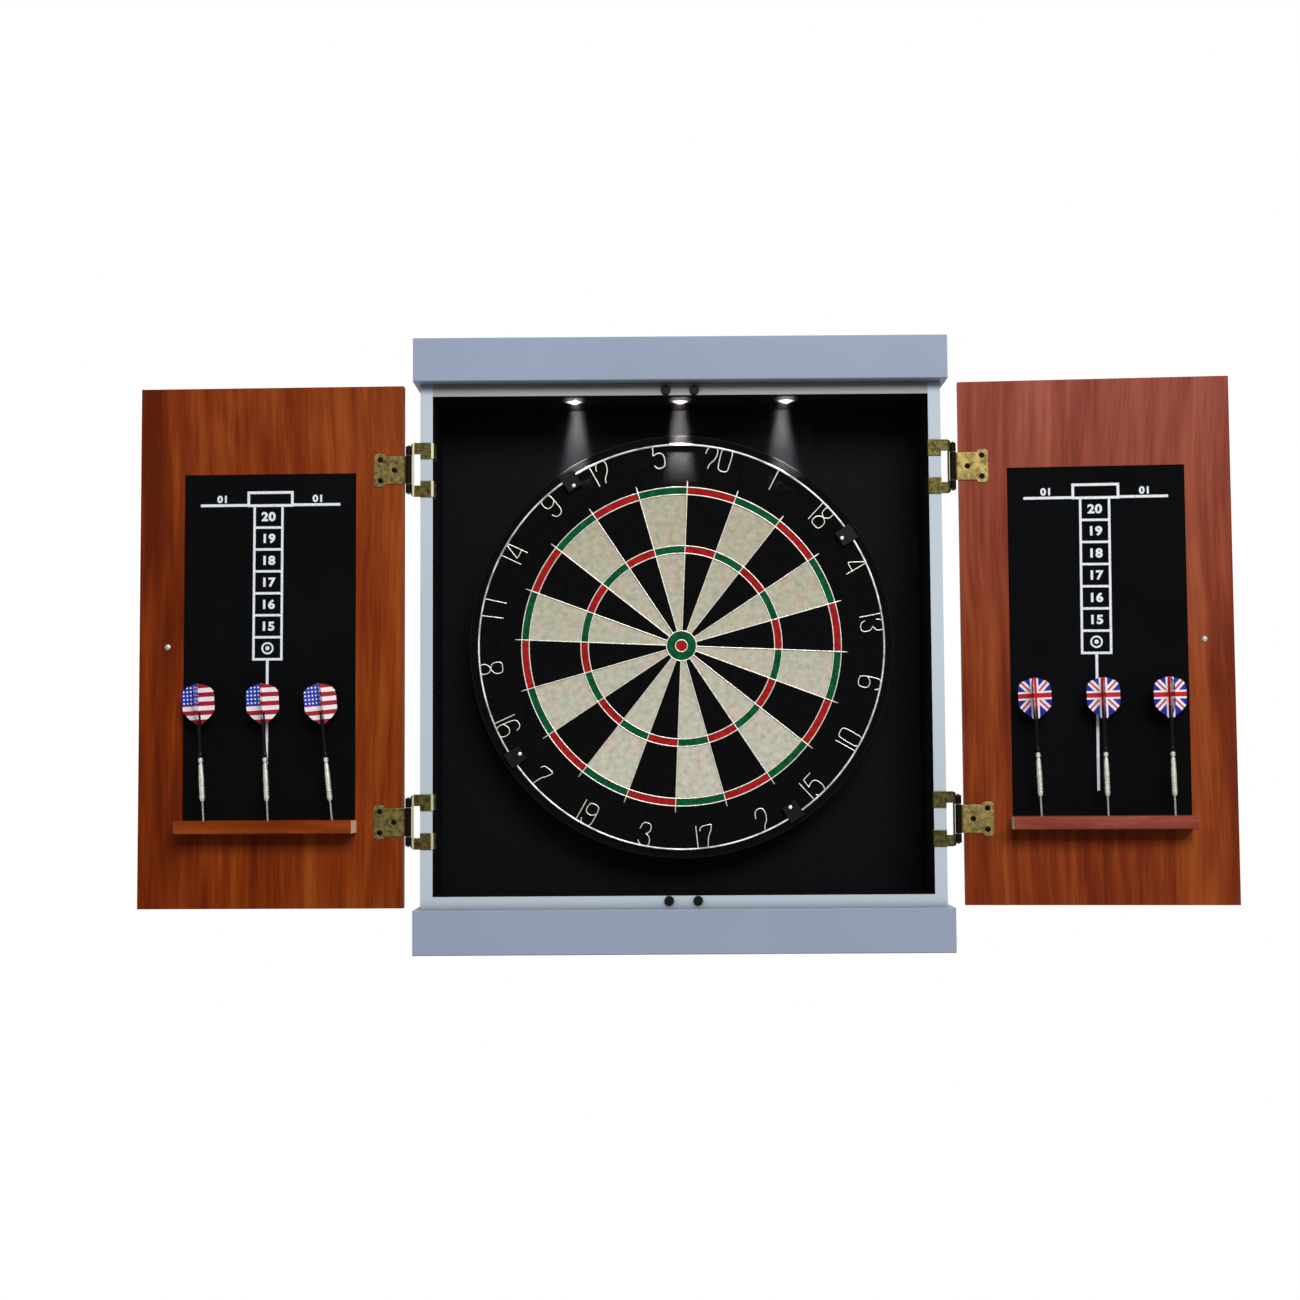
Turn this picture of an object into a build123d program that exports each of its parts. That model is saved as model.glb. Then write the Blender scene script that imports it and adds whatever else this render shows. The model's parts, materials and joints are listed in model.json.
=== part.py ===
# Wall-hung dart board cabinet with two doors, a bristle board, three lamps and six darts.
# Millimetres. +X is right, +Y goes into the wall, +Z is up, and the front faces -Y.
# The origin is the centre of the cabinet's back face. The doors rest open.
import os
from math import atan, cos, degrees, pi, radians, sin

from build123d import *

# Carcass
body_width = 546
body_height = 549
panel_thickness = 13
back_thickness = 5
rabbet_width = 6
cap_height = 46
cap_wall = 10
cap_overhang = 6
edge_break = 1

# Wall screws through the back panel, on two studs and behind the board
stud_spacing = 406.4
wall_hole_spacing = 140
wall_hole_radius = 3

# Bristle board, from the wall outwards
board_standoff = 10.5
backing_thickness = 12
sisal_thickness = 26
board_radius = 225.5
rim_thickness = 1.5
board_turn = 11.5  # clockwise, as the board was hung

# Spider: the wires that divide the board
wire_width = 1.3
wire_height = 1.4
ring_radii = (170, 162, 107, 99, 15.9, 6.35)
spoke_end = 178
sector_count = 20

# Number ring and its four clips
number_ring_inset = 10
number_wire_radius = 1.3
ring_clearance = 0.3
clip_count = 4
clip_inner_reach = 13
clip_outer_reach = 5.5
clip_height = 5.2
clip_width = 17
clip_round = 1.2

# Hanger: a hat-section bracket, and the screw in the board's back that drops into it
bracket_width = 44
bracket_height = 56
bracket_flange = 17
bracket_rise = 8.5
bracket_sheet = 1.5
bracket_bend = 1
bracket_screw_drop = 16
hanger_radius = 3
hanger_head_radius = 6.5
hanger_head_height = 3
hanger_depth = 11
hanger_head_gap = 0.3
running_clearance = 0.05

# Lamps under the top panel
lamp_count = 3
lamp_pitch = 112.5
lamp_setback = 22
lamp_can_radius = 10.2
lamp_can_height = 12
lamp_wall = 1.7
bezel_radius = 12.5
bezel_height = 2.5
lens_radius = 9
lens_thickness = 1.5
lens_crown = 0.7
lamp_hole_clearance = 0.1

# Battery pack for the lamps, inside the top cap
cell_radius = 7.1
cell_length = 49
cell_nub_radius = 2.7
cell_nub_length = 1.2
cell_count = 3
cell_pitch = 15.2
cell_clearance = 0.1
tray_wall = 2.5
tray_height = 11
tray_end_margin = 109

# Catch magnets in the front edges of the top and bottom panels
magnet_offset = 15
magnet_drop = 1.5
magnet_head_radius = 4.75
magnet_plug_radius = 3.5
magnet_plug_length = 10
magnet_gap = 0.4
magnet_round = 0.8

# Doors
door_thickness = 13
door_gap = 3.2
door_play = 1.5
centre_gap = 2
left_swing = -2  # degrees forward of flat open
right_swing = 5

# Wrap-around hinges
hinge_level = 184
hinge_offset = 12
leaf_thickness = 1.2
knuckle_radius = 3.2
knuckle_overlap = 1.2
pin_radius = 1.55
pin_head_gap = 0.1
pin_head_height = 1.2
knuckle_gap = 0.3
door_knuckle_length = 30
frame_knuckle_length = 9.2
frame_leaf_height = 57
arm_height = 16.8
arm_neck = 12
spine_width = 2
leg_depth = 20
leg_screw_inset = 12
leaf_corner = 4
door_leaf_reach = 36.5
door_leaf_height = 29
ear_height = 35
ear_width = 12
ear_screw_inset = 6.5
ear_screw_spacing = 22
mid_screw_reach = 15.3
mid_leaf_corner = 1

# Screws
screw_head_radius = 3
screw_shank_radius = 1.5
screw_length = 10
screw_dome = 0.4
screw_tip = 1.5
recess_length = 3.6
recess_width = 0.7
recess_depth = 0.9
bracket_screw_length = 4.5

# Scoreboards, let into the doors
scoreboard_hinge_margin = 50
scoreboard_free_margin = 47
scoreboard_end_margin = 92
scoreboard_thickness = 3
scoreboard_sink = 1
scoreboard_fit = 0.3

# Dart shelves
shelf_overhang = 1.5
shelf_thickness = 13
shelf_depth = 30
shelf_drop = 0.5
shelf_chamfer = 0.8
dart_end_margin = 25
dart_shift = 4
dart_hole_radius = 1.9
dart_hole_depth = 10.5

# Knobs and their screws
knob_inset = 30
knob_radius = 14
knob_base_radius = 8
knob_neck_radius = 5.5
knob_height = 25
knob_bore_depth = 10
knob_screw_radius = 2
knob_screw_clearance = 0.2
knob_screw_head_radius = 3.6
knob_screw_head_height = 2.2

# Darts, each measured from its tip
dart_stand = 18.5
dart_seat_gap = 0.2
point_radius = 1.15
point_length = 31
point_taper = 7
point_root = 10
barrel_length = 45
barrel_radius = 3.1
barrel_rear_radius = 2.5
barrel_neck_radius = 1.9
collar_radius = 2.7
collar_length = 5.5
groove_count = 5
groove_pitch = 3
groove_depth = 0.3
groove_width = 1
stem_length = 34.5
stem_radius = 1.7
stem_finger_radius = 2.3
stem_finger_length = 12
stem_thread_radius = 1.2
stem_thread_length = 6
flight_radius = 17.5
flight_length = 42
flight_thickness = 0.5
flight_fit = 0.05
left_dart_leans = (3, 3, 6)
right_dart_leans = (2.3, 1.3, 1.3)
left_dart_rolls = (0, 5, 18)
right_dart_rolls = (-10, 0, 6)

# Room between the closed doors' darts and the board's clips
closed_clearance = 2.5

# Sizes that follow
board_back = back_thickness + board_standoff
sisal_back = board_back + backing_thickness
board_front = sisal_back + sisal_thickness
number_ring_radius = board_radius - number_ring_inset
number_wire_height = ring_clearance + number_wire_radius
dart_reach = dart_stand + flight_radius
body_depth = board_front + clip_height + closed_clearance + dart_reach - door_gap
inner_width = body_width - 2 * panel_thickness
inner_height = body_height - 2 * panel_thickness
back_width = inner_width + 2 * rabbet_width
back_height = inner_height + 2 * rabbet_width
cap_width = body_width + 2 * cap_overhang
cap_depth = body_depth + door_gap + door_thickness
lamp_distance = body_depth - lamp_setback
tray_offset = cap_width / 2 - tray_end_margin
ceiling = inner_height / 2
panel_level = (body_height - panel_thickness) / 2
magnet_level = panel_level - magnet_drop
hinge_x = body_width / 2 + hinge_offset
hinge_distance = body_depth + door_gap / 2
hinge_levels = (-hinge_level, hinge_level)
door_edge = hinge_x - cap_width / 2
door_width = (cap_width - centre_gap) / 2
door_height = body_height - 2 * door_play
pin_bore = pin_radius + running_clearance
pin_head_radius = knuckle_radius - knuckle_overlap - pin_head_gap
knuckle_start = door_knuckle_length / 2 + knuckle_gap
knuckle_end = knuckle_start + frame_knuckle_length
arm_middle = (frame_leaf_height - arm_height) / 2
screw_angle = 2 * degrees(atan((screw_head_radius - screw_shank_radius) / leaf_thickness))
door_leaf_screws = (
    (door_leaf_reach - ear_screw_inset, ear_screw_spacing / 2),
    (door_leaf_reach - ear_screw_inset, -ear_screw_spacing / 2),
    (mid_screw_reach, 0),
)
scoreboard_width = door_width - scoreboard_hinge_margin - scoreboard_free_margin
scoreboard_height = door_height - 2 * scoreboard_end_margin
scoreboard_middle = door_edge + scoreboard_hinge_margin + scoreboard_width / 2
pocket_depth = scoreboard_thickness + scoreboard_sink
shelf_width = scoreboard_width + 2 * shelf_overhang
dart_pitch = (shelf_width - 2 * dart_end_margin) / 2
shelf_top = -scoreboard_height / 2 - shelf_drop
knob_reach = door_edge + door_width - knob_inset
barrel_back = point_length + barrel_length
flight_start = barrel_back + stem_length
sides = {"left": -1, "right": 1}

os.makedirs("parts", exist_ok=True)


def save(piece, label):
    piece.part.label = label
    export_step(piece.part, f"parts/{label}.step")


def front_plane(distance):
    # faces the room, so many millimetres out from the wall
    return Plane.XZ.offset(distance)


def axial_plane(seat):
    # holds the axis of the seat: x lies across it and y runs out along it
    return Plane(seat.origin, x_dir=seat.x_dir, z_dir=-seat.y_dir)


def seat_axis(seat):
    return Axis(seat.origin, seat.z_dir)


def add_screw(seat, head_depth, length):
    # countersunk wood screw with a low dome and a cross recess, head level with its seat
    with BuildSketch(axial_plane(seat)) as profile:
        with BuildLine():
            Polyline(
                (0, screw_dome),
                (0, -length),
                (screw_shank_radius, screw_tip - length),
                (screw_shank_radius, -head_depth),
                (screw_head_radius, 0),
            )
            TangentArc((0, screw_dome), (screw_head_radius, 0), tangent=(1, 0))
        make_face()
    revolve(profile.sketch, axis=seat_axis(seat))
    with BuildSketch(seat.offset(screw_dome)) as recess:
        Rectangle(recess_length, recess_width)
        Rectangle(recess_width, recess_length)
    extrude(recess.sketch, amount=-recess_depth, mode=Mode.SUBTRACT)


def door_plane(side, proud=0):
    # an open door's inner face, with its origin level with the hinge axis
    swing = radians(left_swing if side < 0 else right_swing)
    through_hinge = Plane(
        (side * hinge_x, -hinge_distance, 0),
        x_dir=(cos(swing), -side * sin(swing), 0),
        z_dir=(-side * sin(swing), -cos(swing), 0),
    )
    return through_hinge.offset(proud - door_gap / 2)


def on_door(side, reach, height, proud=0):
    # a seat on the door's inner face, so far from the hinge axis and from mid-height
    face = door_plane(side, proud)
    return Plane(face.from_local_coords((side * reach, height, 0)), face.x_dir, face.z_dir)


# Carcass -------------------------------------------------------------------------------


def frame_leg_seats():
    # screw seats on the right-hand hinges' legs, inside the side panel
    for level in hinge_levels:
        for arm in (-arm_middle, arm_middle):
            yield Plane(
                (inner_width / 2 - leaf_thickness, leg_screw_inset - body_depth, level + arm),
                x_dir=(0, 0, 1),
                z_dir=(-1, 0, 0),
            )


with BuildPart() as right_side_panel:
    with BuildSketch(Plane.XZ):
        with Locations(((body_width - panel_thickness) / 2, 0)):
            Rectangle(panel_thickness, body_height)
    extrude(amount=body_depth)
    with BuildSketch(Plane.XZ):
        with Locations(((inner_width + rabbet_width) / 2, 0)):
            Rectangle(rabbet_width, back_height)
    extrude(amount=back_thickness, mode=Mode.SUBTRACT)
    for seat in frame_leg_seats():
        with Locations(seat.offset(-leaf_thickness)):
            Hole(screw_shank_radius, depth=screw_length - leaf_thickness)
save(right_side_panel, "right_side_panel")

with BuildPart() as left_side_panel:
    mirror(right_side_panel.part, about=Plane.YZ)
save(left_side_panel, "left_side_panel")

for label, level in (("top_panel", 1), ("bottom_panel", -1)):
    with BuildPart() as panel:
        with BuildSketch(Plane.XZ):
            with Locations((0, level * panel_level)):
                Rectangle(inner_width, panel_thickness)
        extrude(amount=body_depth)
        with BuildSketch(Plane.XZ):
            with Locations((0, level * (inner_height + rabbet_width) / 2)):
                Rectangle(inner_width, rabbet_width)
        extrude(amount=back_thickness, mode=Mode.SUBTRACT)
        with BuildSketch(front_plane(body_depth)):
            with Locations((-magnet_offset, level * magnet_level), (magnet_offset, level * magnet_level)):
                Circle(magnet_plug_radius)
        extrude(amount=-magnet_plug_length, mode=Mode.SUBTRACT)
        if label == "top_panel":
            with BuildSketch(Plane.XY.offset(ceiling)):
                with Locations((0, -lamp_distance)):
                    with GridLocations(lamp_pitch, 0, lamp_count, 1):
                        Circle(lamp_can_radius + lamp_hole_clearance)
            extrude(amount=panel_thickness, mode=Mode.SUBTRACT)
    save(panel, label)

with BuildPart() as back_panel:
    with BuildSketch(Plane.XZ):
        Rectangle(back_width, back_height)
        with GridLocations(stud_spacing, wall_hole_spacing, 2, 2):
            Circle(wall_hole_radius, mode=Mode.SUBTRACT)
    extrude(amount=back_thickness)
    for x in (-1, 1):
        for z in (-1, 1):
            place = (x * (bracket_width + bracket_flange) / 2, z * bracket_screw_drop, 0)
            with Locations(front_plane(back_thickness)):
                with Locations(place):
                    Hole(screw_shank_radius, depth=bracket_screw_length)
save(back_panel, "back_panel")

for label, level in (("top_cap", 1), ("bottom_cap", -1)):
    with BuildPart() as cap:
        with BuildSketch(Plane.XZ):
            with Locations((0, level * (body_height + cap_height) / 2)):
                Rectangle(cap_width, cap_height)
        extrude(amount=cap_depth)
        chamfer(cap.faces().sort_by(Axis.Y)[0].edges(), edge_break)
        with BuildSketch(Plane.XY.offset(level * body_height / 2)):
            with Locations((0, -body_depth / 2)):
                Rectangle(body_width - 2 * cap_wall, body_depth - 2 * cap_wall)
        extrude(amount=level * (cap_height - cap_wall), mode=Mode.SUBTRACT)
    save(cap, label)

# Lamps, battery pack and catch magnets --------------------------------------------------

lamp_seats = [
    Plane((x * lamp_pitch, -lamp_distance, ceiling), x_dir=(1, 0, 0), z_dir=(0, 0, 1))
    for x in range(-(lamp_count // 2), lamp_count // 2 + 1)
]

with BuildPart() as lamp_housings:
    for seat in lamp_seats:
        with BuildSketch(axial_plane(seat)):
            with BuildLine():
                Polyline(
                    (lens_radius, -bezel_height),
                    (bezel_radius - edge_break, -bezel_height),
                    (bezel_radius, edge_break - bezel_height),
                    (bezel_radius, 0),
                    (lamp_can_radius, 0),
                    (lamp_can_radius, lamp_can_height),
                    (0, lamp_can_height),
                    (0, lamp_can_height - lamp_wall),
                    (lamp_can_radius - lamp_wall, lamp_can_height - lamp_wall),
                    (lamp_can_radius - lamp_wall, lens_thickness - bezel_height),
                    (lens_radius, lens_thickness - bezel_height),
                    close=True,
                )
            make_face()
        revolve(axis=seat_axis(seat))
save(lamp_housings, "lamp_housings")

with BuildPart() as lamp_lenses:
    for seat in lamp_seats:
        with BuildSketch(axial_plane(seat)):
            with BuildLine():
                Polyline(
                    (0, -bezel_height - lens_crown),
                    (0, lens_thickness - bezel_height),
                    (lens_radius, lens_thickness - bezel_height),
                    (lens_radius, -bezel_height),
                )
                TangentArc((0, -bezel_height - lens_crown), (lens_radius, -bezel_height), tangent=(1, 0))
            make_face()
        revolve(axis=seat_axis(seat))
save(lamp_lenses, "lamp_lenses")

tray_seat = Plane((tray_offset, -body_depth / 2, body_height / 2))
tray_length = cell_length + cell_nub_length + 2 * (tray_wall + cell_clearance)
tray_width = (cell_count - 1) * cell_pitch + 2 * (cell_radius + tray_wall)
cell_level = tray_wall + cell_radius + cell_clearance

with BuildPart() as battery_pack:
    with BuildSketch(tray_seat):
        Rectangle(tray_length, tray_width)
    extrude(amount=tray_height)
    for row in range(cell_count):
        place = tray_seat.from_local_coords((0, (row - (cell_count - 1) / 2) * cell_pitch, cell_level))
        with BuildSketch(Plane(place, x_dir=(0, 1, 0), z_dir=(1, 0, 0))):
            Circle(cell_radius + cell_clearance)
        extrude(amount=tray_length / 2 - tray_wall, both=True, mode=Mode.SUBTRACT)
    for row in range(cell_count):
        place = tray_seat.from_local_coords((0, (row - (cell_count - 1) / 2) * cell_pitch, cell_level))
        end = Plane(place, x_dir=(0, 1, 0), z_dir=(1, 0, 0)).offset(-(cell_length + cell_nub_length) / 2)
        with BuildSketch(end):
            Circle(cell_radius)
        extrude(amount=cell_length)
        with BuildSketch(end.offset(cell_length)):
            Circle(cell_nub_radius)
        extrude(amount=cell_nub_length)
save(battery_pack, "battery_pack")

with BuildPart() as catch_magnets:
    for x in (-magnet_offset, magnet_offset):
        for z in (-magnet_level, magnet_level):
            seat = Plane((x, -body_depth, z), x_dir=(1, 0, 0), z_dir=(0, -1, 0))
            with BuildSketch(seat):
                Circle(magnet_head_radius)
            extrude(amount=door_gap - magnet_gap)
            with BuildSketch(seat):
                Circle(magnet_plug_radius)
            extrude(amount=-magnet_plug_length)
    fillet(catch_magnets.faces().group_by(Axis.Y)[0].edges(), magnet_round)
save(catch_magnets, "catch_magnets")

# Hinges, on the cabinet's side ------------------------------------------------------------

leaf_inner = inner_width / 2 - leaf_thickness
leaf_outer = hinge_x - knuckle_radius + knuckle_overlap
spine_outer = hinge_x - knuckle_radius - knuckle_gap
spine_inner = spine_outer - spine_width
neck_start = frame_leaf_height / 2 - arm_neck

with BuildPart() as frame_hinge_leaves:
    for level in hinge_levels:
        with BuildSketch(front_plane(body_depth)) as leaf:
            with Locations(((leaf_inner + leaf_outer) / 2, level)):
                Rectangle(leaf_outer - leaf_inner, frame_leaf_height)
            fillet(leaf.vertices().group_by(Axis.X)[-1], leaf_corner)
            with Locations(((leaf_inner + body_width / 2) / 2, level)):
                Rectangle(body_width / 2 - leaf_inner, 2 * arm_middle - arm_height, mode=Mode.SUBTRACT)
            with Locations(((body_width / 2 + spine_inner) / 2, level)):
                Rectangle(spine_inner - body_width / 2, 2 * neck_start, mode=Mode.SUBTRACT)
            with Locations(((spine_outer + leaf_outer) / 2, level)):
                Rectangle(leaf_outer - spine_outer, 2 * knuckle_start, mode=Mode.SUBTRACT)
        extrude(amount=leaf_thickness)
        for arm in (-arm_middle, arm_middle):
            with BuildSketch(front_plane(body_depth - leg_depth)):
                with Locations((leaf_inner + leaf_thickness / 2, level + arm)):
                    Rectangle(leaf_thickness, arm_height)
            extrude(amount=leg_depth + leaf_thickness)
        for start in (-knuckle_end, knuckle_start):
            with BuildSketch(Plane.XY.offset(level + start)):
                with Locations((hinge_x, -hinge_distance)):
                    Circle(knuckle_radius)
            extrude(amount=frame_knuckle_length)
        with BuildSketch(Plane.XY.offset(level - knuckle_end)):
            with Locations((hinge_x, -hinge_distance)):
                Circle(pin_bore)
        extrude(amount=2 * knuckle_end, mode=Mode.SUBTRACT)
    bends = frame_hinge_leaves.edges().filter_by(Axis.Z).group_by(Axis.X)[0].group_by(Axis.Y)[0]
    fillet(bends, leaf_thickness * 0.8)
    for seat in frame_leg_seats():
        with Locations(seat):
            CounterSinkHole(
                screw_shank_radius,
                screw_head_radius,
                depth=leaf_thickness,
                counter_sink_angle=screw_angle,
            )
    mirror(about=Plane.YZ)
save(frame_hinge_leaves, "frame_hinge_leaves")

with BuildPart() as hinge_pins:
    for level in hinge_levels:
        pin_axis = Plane((hinge_x, -hinge_distance, level))
        with BuildSketch(axial_plane(pin_axis)):
            with BuildLine():
                Polyline(
                    (0, 0),
                    (pin_radius, 0),
                    (pin_radius, knuckle_end),
                    (pin_head_radius, knuckle_end),
                    (pin_head_radius * 0.6, knuckle_end + pin_head_height),
                    (0, knuckle_end + pin_head_height),
                    close=True,
                )
            make_face()
            mirror(about=Plane.XZ)
        revolve(axis=seat_axis(pin_axis))
    mirror(about=Plane.YZ)
save(hinge_pins, "hinge_pins")

with BuildPart() as cabinet_screws:
    for seat in frame_leg_seats():
        add_screw(seat, leaf_thickness, screw_length)
    mirror(about=Plane.YZ)
    for x in (-1, 1):
        for z in (-1, 1):
            place = (x * (bracket_width + bracket_flange) / 2, z * bracket_screw_drop, 0)
            face = front_plane(back_thickness + bracket_sheet)
            seat = Plane(face.from_local_coords(place), face.x_dir, face.z_dir)
            add_screw(seat, bracket_sheet, bracket_screw_length + bracket_sheet)
save(cabinet_screws, "cabinet_screws")

# Board hanger -----------------------------------------------------------------------------

with BuildPart() as board_bracket:
    with BuildSketch(Plane.XY.offset(-bracket_height / 2)):
        with Locations((0, -back_thickness - bracket_rise / 2)):
            Rectangle(bracket_width, bracket_rise)
        with Locations((0, -back_thickness - (bracket_rise - bracket_sheet) / 2)):
            Rectangle(bracket_width - 2 * bracket_sheet, bracket_rise - bracket_sheet, mode=Mode.SUBTRACT)
        with Locations((0, -back_thickness - bracket_sheet / 2)):
            with GridLocations(bracket_width + bracket_flange, 0, 2, 1):
                Rectangle(bracket_flange, bracket_sheet)
    extrude(amount=bracket_height)
    ridges = board_bracket.edges().filter_by(Axis.Z).group_by(Axis.Y)[0]
    fillet(ridges, bracket_bend)
    with BuildSketch(front_plane(back_thickness)):
        Circle(hanger_radius + running_clearance)
        with Locations((0, bracket_height / 4)):
            Rectangle(2 * (hanger_radius + running_clearance), bracket_height / 2)
        with Locations((0, bracket_height / 2)):
            Circle(hanger_head_radius)
    extrude(amount=bracket_rise, mode=Mode.SUBTRACT)
    for x in (-1, 1):
        for z in (-1, 1):
            place = (x * (bracket_width + bracket_flange) / 2, z * bracket_screw_drop, 0)
            with Locations(front_plane(back_thickness + bracket_sheet)):
                with Locations(place):
                    CounterSinkHole(
                        screw_shank_radius,
                        screw_head_radius,
                        depth=bracket_sheet,
                        counter_sink_angle=2
                        * degrees(atan((screw_head_radius - screw_shank_radius) / bracket_sheet)),
                    )
save(board_bracket, "board_bracket")

head_front = back_thickness + bracket_rise - bracket_sheet - hanger_head_gap

with BuildPart() as centre_screw:
    with BuildSketch(Plane.XY):
        with BuildLine():
            Polyline(
                (0, hanger_head_height - head_front),
                (hanger_head_radius * 0.8, hanger_head_height - head_front),
                (hanger_head_radius, hanger_head_height * 0.6 - head_front),
                (hanger_head_radius, -head_front),
                (hanger_radius, -head_front),
                (hanger_radius, -board_back - hanger_depth + screw_tip),
                (0, -board_back - hanger_depth),
                close=True,
            )
        make_face()
    revolve(axis=Axis.Y)
save(centre_screw, "centre_screw")

# Bristle board ------------------------------------------------------------------------------

disc_radius = board_radius - rim_thickness

with BuildPart() as board_backing:
    with BuildSketch(front_plane(board_back)):
        Circle(disc_radius)
    extrude(amount=backing_thickness)
    with BuildSketch(front_plane(board_back)):
        Circle(hanger_radius)
    extrude(amount=hanger_depth, mode=Mode.SUBTRACT)
save(board_backing, "board_backing")

with BuildPart() as board_face:
    with BuildSketch(front_plane(sisal_back)):
        Circle(disc_radius)
    extrude(amount=sisal_thickness)
save(board_face, "board_face")

with BuildPart() as board_rim:
    with BuildSketch(front_plane(board_back)):
        Circle(board_radius)
        Circle(disc_radius, mode=Mode.SUBTRACT)
    extrude(amount=backing_thickness + sisal_thickness)
    outer_edges = board_rim.edges().filter_by(GeomType.CIRCLE).sort_by(SortBy.RADIUS)[-2:]
    fillet(outer_edges, rim_thickness * 0.6)
save(board_rim, "board_rim")

sector_angle = 360 / sector_count
first_spoke = 90 - sector_angle / 2 - board_turn

with BuildPart() as spider:
    with BuildSketch(front_plane(board_front)):
        for radius in ring_radii:
            Circle(radius + wire_width / 2)
            Circle(radius - wire_width / 2, mode=Mode.SUBTRACT)
        bull_radius = ring_radii[-2]
        with PolarLocations((spoke_end + bull_radius) / 2, sector_count, first_spoke):
            Rectangle(spoke_end - bull_radius, wire_width)
    extrude(amount=wire_height)
save(spider, "spider")

with BuildPart() as number_ring:
    with BuildSketch(Plane.XY):
        with Locations((number_ring_radius, -board_front - number_wire_height)):
            Circle(number_wire_radius)
    revolve(axis=Axis.Y)
save(number_ring, "number_ring")

clip_arc = degrees(clip_width / number_ring_radius)
clip_channel = number_wire_radius + ring_clearance

with BuildPart() as ring_clips:
    for clip in range(clip_count):
        angle = radians(90 - 360 / clip_count * (clip + 0.5) - board_turn - clip_arc / 2)
        profile_plane = Plane(
            (0, -board_front, 0),
            x_dir=(cos(angle), 0, sin(angle)),
            z_dir=(sin(angle), 0, -cos(angle)),
        )
        with BuildSketch(profile_plane) as profile:
            middle = number_ring_radius + (clip_outer_reach - clip_inner_reach) / 2
            with Locations((middle, clip_height / 2)):
                Rectangle(clip_inner_reach + clip_outer_reach, clip_height)
            fillet(profile.vertices().group_by(Axis.Y)[0], clip_round)
            with Locations((number_ring_radius, number_wire_height)):
                Circle(clip_channel, mode=Mode.SUBTRACT)
            with Locations((number_ring_radius, number_wire_height / 2)):
                Rectangle(2 * clip_channel, number_wire_height, mode=Mode.SUBTRACT)
        revolve(axis=Axis((0, 0, 0), (0, -1, 0)), revolution_arc=clip_arc)
save(ring_clips, "ring_clips")

# Doors --------------------------------------------------------------------------------------

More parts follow.
